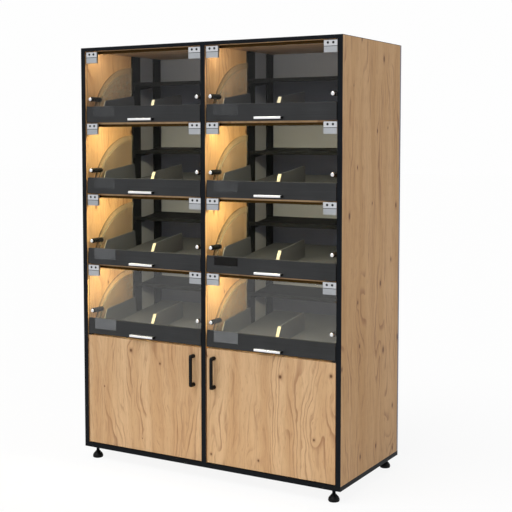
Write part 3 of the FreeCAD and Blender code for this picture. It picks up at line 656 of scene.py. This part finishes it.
    def piece(self, name: str, finishes: list[Finish], body: str, replaced: tuple[str, ...] = (),
              shadow: bool = True) -> None:
        """Ends the mesh and puts it on its body.

        Args:
            name: the piece's name.
            finishes: its finishes, by number.
            body: body that it moves with.
            replaced: nodes that it stands for.
            shadow: False for a clear sheet that lets lamps through.
        """
        bmesh.ops.recalc_face_normals(self.bm, faces=self.bm.faces)
        mesh = bpy.data.meshes.new(name)
        self.bm.to_mesh(mesh)
        self.bm.free()
        for finish in finishes:
            mesh.materials.append(finish.material())
        mesh.shade_smooth()
        mesh.set_sharp_from_angle(angle=self.smooth)
        made = in_scene(name, mesh)
        # Weighting by area keeps flat faces flat beside their small roundings
        made.modifiers.new("flat_faces", "WEIGHTED_NORMAL").keep_sharp = True
        made.visible_shadow = shadow
        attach(made, body)
        if replaced:
            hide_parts(*replaced)
        log.info("%s on %s: %d faces", name, body, len(mesh.polygons))


def dress_node(name: str, finish: Finish) -> None:
    """Gives a carried-over node its finish.

    Args:
        name: the node.
        finish: what its surface gets.
    """
    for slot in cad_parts[name].material_slots:
        slot.material = finish.material()
    log.info("%s: %s", name, finish.name)


# Sub-assemblies

@dataclass
class Carcass:
    """Boards, edge bands, back panel and base frame, with the screws that hold the back."""

    screw_pitch_mm: float = 290
    screw_inset_mm: float = 11
    screw_end_mm: float = 40
    screw_head: Outline = ((4, -0.6), (4, -0.25), (3.6, 0), (1.6, 0), (1.4, -0.2), (0, -0.2))
    screw_sides: int = 16
    boards: dict[str, Finish] = field(default_factory=lambda: {
        "left_side_panel": OAK_SIDE, "right_side_panel": OAK_SIDE, "centre_partition": OAK_SIDE,
        "top_board": OAK_FLAT, "bottom_boards": OAK_FLAT, "shelf_boards": OAK_FLAT,
        "back_panel": GREY_BOARD, "edge_lippings": BLACK_EDGING, "base_frame": POWDER_COAT,
        # The uprights' and upper trays' deeper black is painted shade
        "tray_uprights": BLACK_BOARD_PAINTED_SHADE, "bread_trays": BLACK_BOARD, "upper_trays": BLACK_BOARD_PAINTED_SHADE,
        "pivot_pins": BLACK_OXIDE,
    })

    def build(self) -> None:
        """Dresses the boards and adds the back's screws."""
        for name, finish in self.boards.items():
            dress_node(name, finish)
        self.back_screws()

    def back_screws(self) -> None:
        """Adds a row of countersunk screws along each upright edge and the partition."""
        low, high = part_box("back_panel")
        height = high.z - low.z
        inset = self.screw_inset_mm * MM
        end = self.screw_end_mm * MM
        rows = max(2, round(height / (self.screw_pitch_mm * MM)))
        pitch = (height - 2 * end) / (rows - 1)
        shape = Shape()
        for x in (low.x + inset, 0.0, high.x - inset):
            for row in range(rows):
                seat = Vector((x, high.y, low.z + end + row * pitch))
                shape.turned(self.screw_head, seat, BACK, 0, self.screw_sides)
        shape.piece("back_panel_screws", [BLACK_OXIDE], "carcass")


@dataclass
class LevellingFeet:
    """Four screw feet: a pad with a rubber sole, threaded stem and lock nut."""

    inset_mm: Span = (46, 36)
    sole: Outline = ((0, 0), (21, 0), (22.3, 0.6), (22.8, 2), (22.8, 2.9), (0, 2.9))
    pad: Outline = ((0, 2.4), (23, 2.4), (23, 3.2), (24, 3.8), (24, 8), (23.5, 11), (22.2, 14.5),
                    (19.8, 18.5), (16.6, 22.2), (13.8, 25.2), (11.9, 27.6), (10.8, 29.4), (10.2, 30),
                    (0, 30))
    pad_sides: int = 40
    stem_mm: float = 7.5
    stem_sides: int = 20
    stem_ends_mm: Span = (29, 48)
    thread_pitch_mm: float = 2
    thread_depth_mm: float = 0.7
    nut_mm: Triple = (46, 24, 9)
    nut_edge_mm: float = 0.54

    def build(self) -> None:
        """Turns the four feet under the corners of the base frame."""
        low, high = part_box("base_frame")
        inset_x, inset_y = (inset * MM for inset in self.inset_mm)
        nut_foot, nut_width, nut_height = (size * MM for size in self.nut_mm)
        stem = self.stem()
        shape = Shape()
        for x in (low.x + inset_x, high.x - inset_x):
            for y in (low.y + inset_y, high.y - inset_y):
                foot = Vector((x, y, 0))
                shape.turned(self.pad, foot, UP, 0, self.pad_sides)
                shape.turned(self.sole, foot, UP, 1, self.pad_sides)
                shape.turned(stem, foot, UP, 2, self.stem_sides)
                shape.nut(foot + UP * nut_foot, nut_width, nut_height, 2, self.nut_edge_mm)
        shape.piece("turned_levelling_feet", [MOULDED_BLACK, RUBBER, BLACK_OXIDE], "carcass",
                    ("levelling_feet",))

    def stem(self) -> Outline:
        """Works out the stem's outline, with its thread as a row of ridges.

        Returns:
            Radius and height pairs.
        """
        foot, top = self.stem_ends_mm
        core = self.stem_mm - self.thread_depth_mm
        outline = [(0, foot)]
        for turn in range(int((top - foot) // self.thread_pitch_mm)):
            height = foot + turn * self.thread_pitch_mm
            outline += [(core, height), (self.stem_mm, height + self.thread_pitch_mm / 2)]
        return [*outline, (core, top), (0, top)]


@dataclass
class BreadBay:
    """What stands and hangs in one bay: the dividers' ticket strips, wall guards and the light bar.

    Sizes in pairs are front to rear, then upwards; the strip's and bead's are width, then thickness.
    """

    tier: int
    side: str
    wall_mm: Span = (11, 638)
    flap_gap_mm: float = 4
    floor_rise_mm: float = 10
    clamp_gap_mm: float = 3
    tray_gap_mm: float = 36
    tray_front_mm: float = 43.142
    slope: float = math.radians(7.7)
    divider_mm: float = 5
    heel_mm: Span = (16, 6)
    slant_mm: Span = (52, 78)
    strip_end_mm: float = 2
    strip_mm: Span = (15, 2)
    bead_mm: Span = (2.5, 1)
    guard_centre_mm: Span = (345, -43)
    guard_radius_mm: float = 300
    guard_mm: float = 6
    guard_sides: int = 160
    rim_width_mm: float = 26
    rim_mm: float = 9
    rim_steps: int = 40
    light_front_mm: float = 34.142
    light_inset_mm: float = 6
    clip_mm: Triple = (2, 18, 12)
    clip_lap_mm: float = 0.5
    channel: Outline = ((0, 0), (18, 0), (18, -2), (1.6, -2), (1.6, -12), (0, -12))
    opal: Outline = ((1.8, -2.2), (12.2, -2.2), (2.8, -11.6), (1.8, -11.6))

    def __post_init__(self) -> None:
        """Finds the bay's walls, floor and ceiling from the flap that closes it."""
        low, high = (value * MM for value in self.wall_mm)
        self.left, self.right = (low, high) if self.side == "right" else (-high, -low)
        self.walls = ((self.left, 1), (self.right, -1))
        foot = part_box(f"flap_{self.tier}_{self.side}_rail")[0]
        self.front = foot.y - self.flap_gap_mm * MM
        self.floor = foot.z + self.floor_rise_mm * MM
        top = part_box(f"flap_{self.tier}_{self.side}_hinge_clamps")[1].z
        self.ceiling = top - self.clamp_gap_mm * MM if self.tier > 1 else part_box("top_board")[0].z
        back, rise = (value * MM for value in self.guard_centre_mm)
        self.centre = Vector((0, self.front + back, self.floor + rise))
        self.outer = self.guard_radius_mm * MM
        self.inner = self.outer - self.rim_width_mm * MM

    def ticket_strips(self, shape: Shape) -> None:
        """Adds a strip down each divider's slanted front edge; the middle one is wide, for a ticket, and
        the thin side ones are pale as a painted glow.

        Args:
            shape: mesh for the strips.
        """
        along = Vector((0, math.cos(self.slope), math.sin(self.slope))) * MM
        upward = Vector((0, -math.sin(self.slope), math.cos(self.slope))) * MM
        tray = Vector((0, self.front + self.tray_front_mm * MM, self.floor))
        heel = tray + along * self.heel_mm[0] + upward * self.heel_mm[1]
        slant = along * self.slant_mm[0] + upward * self.slant_mm[1]
        edge = slant.normalized() * MM
        outward = Vector((0, -edge.z, edge.y))
        toe = heel + edge * self.strip_end_mm
        tip = heel + slant - edge * self.strip_end_mm
        inset = (self.tray_gap_mm + self.divider_mm / 2) * MM
        first, last = self.left + inset, self.right - inset
        # The side beads' pale finish is a painted glow
        strips = ((first, self.bead_mm, 1), ((first + last) / 2, self.strip_mm, 0), (last, self.bead_mm, 1))
        for middle, (width, thickness), finish in strips:
            corners = (toe, tip, tip + outward * thickness, toe + outward * thickness)
            outline = [(corner.y, corner.z) for corner in corners]
            half = width / 2 * MM
            shape.profile(outline, middle - half, middle + half, finish, edge_mm=0.3)

    def guard_sheets(self, shape: Shape) -> None:
        """Adds a frosted quarter-round sheet on each wall, cut level at the floor and upright at its rear.

        Args:
            shape: mesh for the guards.
        """
        cuts = (((0, 0, self.floor), -UP), (self.centre, BACK))
        for wall, inward in self.walls:
            before = set(shape.bm.faces)
            middle = self.centre + Vector((wall, 0, 0))
            place = Matrix.Translation(middle) @ Matrix.Rotation(math.pi / 2, 4, "Y")
            made = bmesh.ops.create_circle(shape.bm, cap_ends=True, segments=self.guard_sides,
                                           radius=self.inner, matrix=place)
            disc = {item for vert in made["verts"] for item in [vert, *vert.link_edges, *vert.link_faces]}
            for point, outside in cuts:
                cut = bmesh.ops.bisect_plane(shape.bm, geom=list(disc), plane_co=point, plane_no=outside,
                                             clear_outer=True)
                disc = {item for item in cut["geom"] + cut["geom_cut"] if item.is_valid}
            shape.draw_out(shape.fresh(before), inward * self.guard_mm * MM)
            # Each row's sheet gets its own grey: painted shade on the wall behind it
            shape.mark(before, self.tier - 1)

    def guard_rims(self, shape: Shape) -> None:
        """Adds the guards' raised rims, each a section turned through the quarter round above the floor.

        Args:
            shape: mesh for the guards.
        """
        start = math.asin((self.floor - self.centre.z) / self.inner)
        turn = Matrix.Rotation(-start, 4, "X")
        for wall, inward in self.walls:
            before = set(shape.bm.faces)
            face = wall + inward * self.rim_mm * MM
            corners = ((wall, self.inner), (face, self.inner), (face, self.outer), (wall, self.outer))
            section = [shape.bm.verts.new(self.centre + Vector((x, 0, 0)) + turn @ (FRONT * reach))
                       for x, reach in corners]
            bmesh.ops.spin(shape.bm, geom=[shape.bm.faces.new(section)], cent=self.centre,
                           axis=(-1, 0, 0), dvec=(0, 0, 0), angle=math.pi / 2 - start, steps=self.rim_steps)
            fresh = shape.mark(before, len(HAZY_GUARDS_PAINTED_SHADE))
            shape.bm.normal_update()
            # All but the faces towards the wall and the bay are the rim's edges, which get the painted
            # shade
            for side in fresh:
                if abs(side.normal.x) < 0.5:
                    side.material_index = len(HAZY_GUARDS_PAINTED_SHADE) + 1

    def light(self, channels: Shape, glows: Shape) -> None:
        """Adds the light bar: a corner channel with two end clips, its opal strip turned down and inwards.

        Args:
            channels: mesh for the channels.
            glows: mesh for the opal strips.
        """
        y = self.front + self.light_front_mm * MM
        top = self.ceiling
        left = self.left + self.light_inset_mm * MM
        right = self.right - self.light_inset_mm * MM
        channel, opal = ([(y + across * MM, top + up * MM) for across, up in section]
                         for section in (self.channel, self.opal))
        clip, depth, height = (size * MM for size in self.clip_mm)
        lap = self.clip_lap_mm * MM
        channels.profile(channel, left + clip - lap, right - clip + lap, 0, edge_mm=0.4)
        for x in (left, right - clip):
            channels.block((x, y, top - height), (x + clip, y + depth, top), 1, edge_mm=0.4)
        faces = glows.profile(opal, left + clip + lap, right - clip - lap, len(GLOWS), edge_mm=0)
        glows.bm.normal_update()
        # Only the slanted face glows; the other faces get the pale painted edge glow
        for face in faces:
            if 0.3 < abs(face.normal.y) < 0.9:
                face.material_index = 1 if self.tier == 1 else 0


@dataclass
class BayFittings:
    """All the bays' ticket strips, guards and lights, each kind as one piece."""

    body: str = "carcass"

    def build(self) -> None:
        """Builds each kind of fitting for the eight bays."""
        strips, guards, channels, glows = Shape(), Shape(), Shape(), Shape()
        for tier in TIERS:
            for side in SIDES:
                bay = BreadBay(tier, side)
                bay.ticket_strips(strips)
                bay.guard_sheets(guards)
                bay.guard_rims(guards)
                bay.light(channels, glows)
        strips.piece("divider_ticket_strips", [TICKET_STRIP, EDGE_PAINTED_GLOW], self.body)
        guards.piece("frosted_wall_guards", [*HAZY_GUARDS_PAINTED_SHADE, RIM_PAINTED_HIGHLIGHT, RIM_EDGE_PAINTED_SHADE], self.body, ("wall_guards",), False)
        channels.piece("light_channels", [BRONZE, MOULDED_BLACK], self.body, ("light_bars",))
        glows.piece("light_diffusers", [*GLOWS, EDGE_PAINTED_GLOW], self.body)


@dataclass
class Flap:
    """One lift-up flap: smoked sheet, lower rail, pull, hinge clamps, closing buffers and ticket pocket."""

    tier: int
    side: str
    sheet_mm: float = 5
    sheet_drop_mm: float = 12
    groove_mm: float = 15
    rail_cap_mm: float = 1.5
    pull_skin_mm: float = 2.6
    pull_cap_mm: float = 2.5
    pull_cap_sink_mm: float = 0.3
    clamp_mm: Triple = (60, 11, 50)
    plate_mm: float = 0.8
    parting_mm: float = 25
    parting_gap_mm: float = 1.2
    painted_shadow_strip_lap_mm: float = 0.2
    screw_spacing_mm: float = 24
    screw_drop_mm: float = 11
    screw_sink_mm: float = 0.1
    screw_head: Outline = ((5.2, 0), (5.2, 0.7), (4.7, 1.1), (2.7, 1.1), (2.5, 0.2), (0, 0.2))
    screw_sides: int = 24
    buffer_inset_mm: float = 19.5
    buffer_drop_mm: float = 213
    buffer_mm: float = 68
    ribs_mm: Span = (20, 44)
    dome: Outline = ((0, 0), (7.2, 0), (8.6, 0.5), (9, 1.6), (8.7, 3.2), (7.6, 5), (5.6, 6.3), (3, 6.9),
                     (0, 7))
    tail: Outline = ((0, 0), (6.4, 0), (9, 0.4), (9.4, 1.4), (9.4, 3.5), (8.4, 5.6), (5.6, 7.4), (0, 8))
    pocket_mm: Triple = (121, 3, 50)
    pocket_inset_mm: float = 38
    pocket_rise_mm: float = 2
    film_mm: float = 0.9
    notch_mm: float = 4
    card_flap: tuple[int, str] = (3, "right")
    card_mm: float = 36
    card_gaps_mm: Triple = (2, 1.2, 5)

    def __post_init__(self) -> None:
        """Reads where the flap is from its rail and clamps."""
        self.name = f"flap_{self.tier}_{self.side}"
        low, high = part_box(self.name + "_rail")
        self.left, self.face, self.foot = low
        self.right, self.rear, self.rail_top = high
        self.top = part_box(self.name + "_hinge_clamps")[1].z
        self.middle = (self.face + self.rear) / 2
        self.sheet_front = self.middle - self.sheet_mm / 2 * MM
        self.sheet_rear = self.middle + self.sheet_mm / 2 * MM
        self.sheet_top = self.top - self.sheet_drop_mm * MM
        self.groove = self.rail_top - self.groove_mm * MM

    def build(self) -> None:
        """Builds all the flap's pieces."""
        self.sheet()
        self.rail()
        self.pull()
        self.clamps()
        self.buffers()
        self.pocket()

    def sheet(self) -> None:
        """Builds the smoked sheet, its edges flame polished."""
        shape = Shape()
        shape.block((self.left, self.sheet_front, self.groove),
                    (self.right, self.sheet_rear, self.sheet_top), 0, edge_mm=0.7)
        shape.piece(self.name + "_smoked_sheet", [SMOKED[self.tier]], self.name, (self.name + "_glazing",),
                    False)

    def rail(self) -> None:
        """Builds the grooved rail with rounded edges and an end cap at each side."""
        outline = [(self.face, self.foot), (self.rear, self.foot), (self.rear, self.rail_top),
                   (self.sheet_rear, self.rail_top), (self.sheet_rear, self.groove),
                   (self.sheet_front, self.groove), (self.sheet_front, self.rail_top),
                   (self.face, self.rail_top)]
        rounds = {0: 1.6, 1: 1.6, 2: 1.2, 7: 1.2}
        cap = self.rail_cap_mm * MM
        shape = Shape()
        shape.profile(outline, self.left + cap, self.right - cap, 0, edge_mm=0.4, rounds=rounds)
        for x in (self.left, self.right - cap):
            shape.block((x, self.face, self.foot), (x + cap, self.rear, self.groove), 1, edge_mm=0.5)
        shape.piece(self.name + "_grooved_rail", [CHARCOAL_RAIL, MOULDED_BLACK], self.name,
                    (self.name + "_rail",))

    def pull(self) -> None:
        """Builds the aluminium pull, hollow below for the fingers, with black end caps."""
        low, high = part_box(self.name + "_handle")
        left, front, foot = low
        right, rear, top = high
        skin = self.pull_skin_mm * MM
        cap = self.pull_cap_mm * MM
        sink = self.pull_cap_sink_mm * MM
        bent = [(rear, top), (front, top), (front, foot), (front + 2 * skin, foot),
                (front + 2 * skin, foot + skin), (front + skin, foot + skin), (front + skin, top - skin),
                (rear, top - skin)]
        solid = [(rear, top - sink), (front + sink, top - sink), (front + sink, foot + sink),
                 (rear, foot + sink)]
        shape = Shape()
        shape.profile(bent, left + cap, right - cap, 0, edge_mm=0.3, rounds={1: 3.0, 2: 2.0}, segments=4)
        for x in (left, right - cap):
            shape.profile(solid, x, x + cap, 1, edge_mm=0.4, rounds={1: 2.8, 2: 1.8}, segments=4)
        shape.piece(self.name + "_edge_pull", [ALUMINIUM, MOULDED_BLACK], self.name,
                    (self.name + "_handle",))

    def clamps(self) -> None:
        """Builds the hinge clamps: a folded body, a bright plate with two screws, a satin one below and a
        black strip in the gap between them as painted shadow.
        """
        width, depth, height = (size * MM for size in self.clamp_mm)
        front = self.middle - depth / 2
        rear = self.middle + depth / 2
        foot = self.top - height
        plate = self.plate_mm * MM
        skin = front + plate
        seam = self.top - self.parting_mm * MM
        gap = self.parting_gap_mm * MM
        lap = self.painted_shadow_strip_lap_mm * MM
        folded = [(skin, foot), (self.sheet_front, foot), (self.sheet_front, self.sheet_top),
                  (self.sheet_rear, self.sheet_top), (self.sheet_rear, foot), (rear, foot),
                  (rear, self.top), (skin, self.top)]
        seat = Vector((0, front + self.screw_sink_mm * MM, self.top - self.screw_drop_mm * MM))
        shape = Shape()
        for x in (self.left, self.right - width):
            end = x + width
            shape.profile(folded, x, end, 0, edge_mm=0.3, rounds={6: 1.5, 7: 1.0})
            shape.block((x, front, seam + gap), (end, skin, self.top - plate), 1, edge_mm=0.35)
            shape.block((x, front, foot), (end, skin, seam - gap), 0, edge_mm=0.35)
            # A black strip in the gap between the plates: painted shadow
            shape.block((x, skin - lap, seam - gap - lap), (end, skin + lap, seam + gap + lap), 2,
                        edge_mm=0)
            for offset in (-0.5, 0.5):
                seat.x = x + width / 2 + offset * self.screw_spacing_mm * MM
                shape.turned(self.screw_head, seat, FRONT, 2, self.screw_sides)
        shape.piece(self.name + "_clamps", [SATIN_STEEL, BRIGHT_STEEL, BLACK_OXIDE], self.name,
                    (self.name + "_hinge_clamps",))

    def buffers(self) -> None:
        """Builds the buffers: a chrome ball cap in front, a ribbed rubber sleeve and a small cap behind."""
        inset = self.buffer_inset_mm * MM
        z = self.top - self.buffer_drop_mm * MM
        length = self.buffer_mm
        sleeve = [(0, 0), (9.6, 0), (10.6, 0.5), (11, 1.5)]
        for rib in self.ribs_mm:
            sleeve += [(11, rib), (10.2, rib + 1), (10.2, rib + 2.5), (11, rib + 3.5)]
        sleeve += [(11, length - 1.5), (10.6, length - 0.5), (9.6, length), (0, length)]
        shape = Shape()
        for x in (self.left + inset, self.right - inset):
            shape.turned(sleeve, Vector((x, self.sheet_rear, z)), BACK, 0)
            shape.turned(self.dome, Vector((x, self.sheet_front, z)), FRONT, 1)
            shape.turned(self.tail, Vector((x, self.sheet_rear + length * MM, z)), BACK, 1)
        shape.piece(self.name + "_closing_buffers", [RUBBER, CHROME], self.name, (self.name + "_buffers",))

    def pocket(self) -> None:
        """Builds the ticket pocket: one film folded up under itself, its front lower; one holds a card."""
        length, depth, height = (size * MM for size in self.pocket_mm)
        left = self.left + self.pocket_inset_mm * MM
        right = left + length
        rear = self.face
        front = rear - depth
        top = self.rail_top + self.pocket_rise_mm * MM
        foot = top - height
        film = self.film_mm * MM
        lip = top - self.notch_mm * MM
        outline = [(rear, top), (rear, foot), (front, foot), (front, lip), (front + film, lip),
                   (front + film, foot + film), (rear - film, foot + film), (rear - film, top)]
        filled = (self.tier, self.side) == self.card_flap
        shape = Shape()
        shape.profile(outline, left, right, 0, edge_mm=0, rounds={1: 1.2, 2: 1.2})
        # The film's grey, denser in the lower rows, is a painted sheen
        shape.piece(self.name + "_ticket_pocket", [POCKET_FILMS_AND_SHEEN[0 if filled else self.tier]], self.name,
                    shadow=False)
        if filled:
            side, gap, drop = (value * MM for value in self.card_gaps_mm)
            card = Shape()
            card.block((left + side, front + gap, top - drop - self.card_mm * MM),
                       (right - side, rear - gap, top - drop), 0, edge_mm=0.1, segments=1)
            card.piece(self.name + "_blank_card", [BLACK_CARD], self.name)


@dataclass
class Door:
    """One cupboard door: the oak-grained board stays, the bow handle is rounded."""

    side: str
    bar_mm: float = 12
    foot_mm: float = 17
    cheek_mm: float = 0.5
    collar: Outline = ((8.4, 0), (8.4, 17), (7.8, 19.5), (6.2, 21), (0, 21.5))
    collar_sides: int = 24

    def build(self) -> None:
        """Dresses the board and builds the handle."""
        dress_node(f"door_{self.side}_panel", OAK_DOOR)
        self.handle()

    def handle(self) -> None:
        """Builds the bow handle from one bent outline, with a round collar under each end."""
        low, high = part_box(f"door_{self.side}_handle")
        bar = self.bar_mm * MM
        foot = self.foot_mm * MM
        cheek = self.cheek_mm * MM
        bow = [(high.y, low.z), (low.y, low.z), (low.y, high.z), (high.y, high.z), (high.y, high.z - foot),
               (low.y + bar, high.z - bar), (low.y + bar, low.z + bar), (high.y, low.z + foot)]
        shape = Shape()
        shape.profile(bow, low.x + cheek, high.x - cheek, 0, edge_mm=2.0,
                      rounds={1: 9.0, 2: 9.0, 5: 4.0, 6: 4.0}, segments=6)
        middle = (low.x + high.x) / 2
        for z in (low.z + foot / 2, high.z - foot / 2):
            shape.turned(self.collar, Vector((middle, high.y, z)), FRONT, 0, self.collar_sides)
        shape.piece(f"door_{self.side}_bow_handle", [MOULDED_BLACK], f"door_{self.side}",
                    (f"door_{self.side}_handle",))


@dataclass
class Studio:
    """White floor, even dome light, one soft key light and the camera.

    The key light's angles are in degrees, its height first; the camera's are in radians.
    """

    floor_m: float = 40
    floor_paint: str = "#FAFAF9"
    floor_white: float = 0.90
    sky: str = "#FFFFFF"
    sky_white: float = 0.99
    dome: float = 0.44
    key: float = 1.68
    key_turn: Span = (60, -22)
    key_spread: float = 40
    camera_place: Triple = (2.4911, -4.1195, 1.4813)
    yaw: float = 0.5263
    pitch: float = -0.0701
    lens: float = 74.83
    shift: float = -0.08
    sight_m: float = 200

    def build(self) -> None:
        """Sets up the floor, the light and the camera."""
        bpy.context.scene.view_settings.view_transform = "Standard"
        self.floor()
        self.light()
        self.camera()

    def seen(self, tree: Tree) -> Socket:
        """Tells rays that show a background, straight, mirrored or through glass, from those that light.

        Args:
            tree: nodes of the floor's material or of the world.

        Returns:
            1 for a ray that shows it, otherwise 0.
        """
        rays = add_node(tree, "LightPath")
        seen = rays["Is Camera Ray"]
        for ray in ("Is Glossy Ray", "Is Transmission Ray"):
            seen = add_node(tree, "Math", (seen, rays[ray]), operation="MAXIMUM")[0]
        return seen

    def floor(self) -> None:
        """Lays the pale floor: white to the camera, and still able to take a soft shadow."""
        bm = bmesh.new()
        bmesh.ops.create_grid(bm, x_segments=1, y_segments=1, size=self.floor_m)
        mesh = bpy.data.meshes.new("studio_floor")
        bm.to_mesh(mesh)
        bm.free()
        paint = bpy.data.materials.new("white_studio_floor")
        tree = bare_tree(paint)
        matt = add_node(tree, "BsdfDiffuse", {"Color": linear(self.floor_paint)})[0]
        white = add_node(tree, "Emission", {"Strength": 1.0})[0]
        share = add_node(tree, "Math", (self.seen(tree), self.floor_white), operation="MULTIPLY")[0]
        mixed = add_node(tree, "MixShader", (share, matt, white))[0]
        add_node(tree, "OutputMaterial", (mixed,))
        mesh.materials.append(paint)
        in_scene("studio_floor", mesh)

    def light(self) -> None:
        """Lights the unit by an even dome and a soft key from the front left."""
        world = bpy.data.worlds.new("white_studio")
        bpy.context.scene.world = world
        tree = bare_tree(world)
        levels = {"Value": self.seen(tree), "To Min": self.dome, "To Max": self.sky_white}
        level = add_node(tree, "MapRange", levels)[0]
        sky = add_node(tree, "Background", {"Color": linear(self.sky), "Strength": level})[0]
        add_node(tree, "OutputWorld", (sky,))
        lamp = bpy.data.lights.new("soft_key", "SUN")
        lamp.energy = self.key
        lamp.angle = math.radians(self.key_spread)
        height, turn = (math.radians(angle) for angle in self.key_turn)
        reach = math.cos(height)
        towards = Vector((math.sin(turn) * reach, -math.cos(turn) * reach, math.sin(height)))
        in_scene("soft_key", lamp).rotation_euler = towards.to_track_quat("Z", "Y").to_euler()

    def camera(self) -> None:
        """Stands the camera where the photograph was taken from."""
        lens = bpy.data.cameras.new("camera")
        lens.lens = self.lens
        lens.shift_y = self.shift
        lens.clip_end = self.sight_m
        reach = math.cos(self.pitch)
        ahead = Vector((-math.sin(self.yaw) * reach, math.cos(self.yaw) * reach, math.sin(self.pitch)))
        camera = in_scene("camera", lens)
        camera.location = self.camera_place
        camera.rotation_euler = ahead.to_track_quat("-Z", "Y").to_euler()
        bpy.context.scene.camera = camera


def main() -> None:
    """Builds the unit's sub-assemblies in order, then the studio."""
    logging.basicConfig(level=logging.INFO, format="%(message)s")
    Carcass().build()
    LevellingFeet().build()
    BayFittings().build()
    for tier in TIERS:
        for side in SIDES:
            Flap(tier, side).build()
    for side in SIDES:
        Door(side).build()
    Studio().build()


if __name__ == "__main__":
    main()
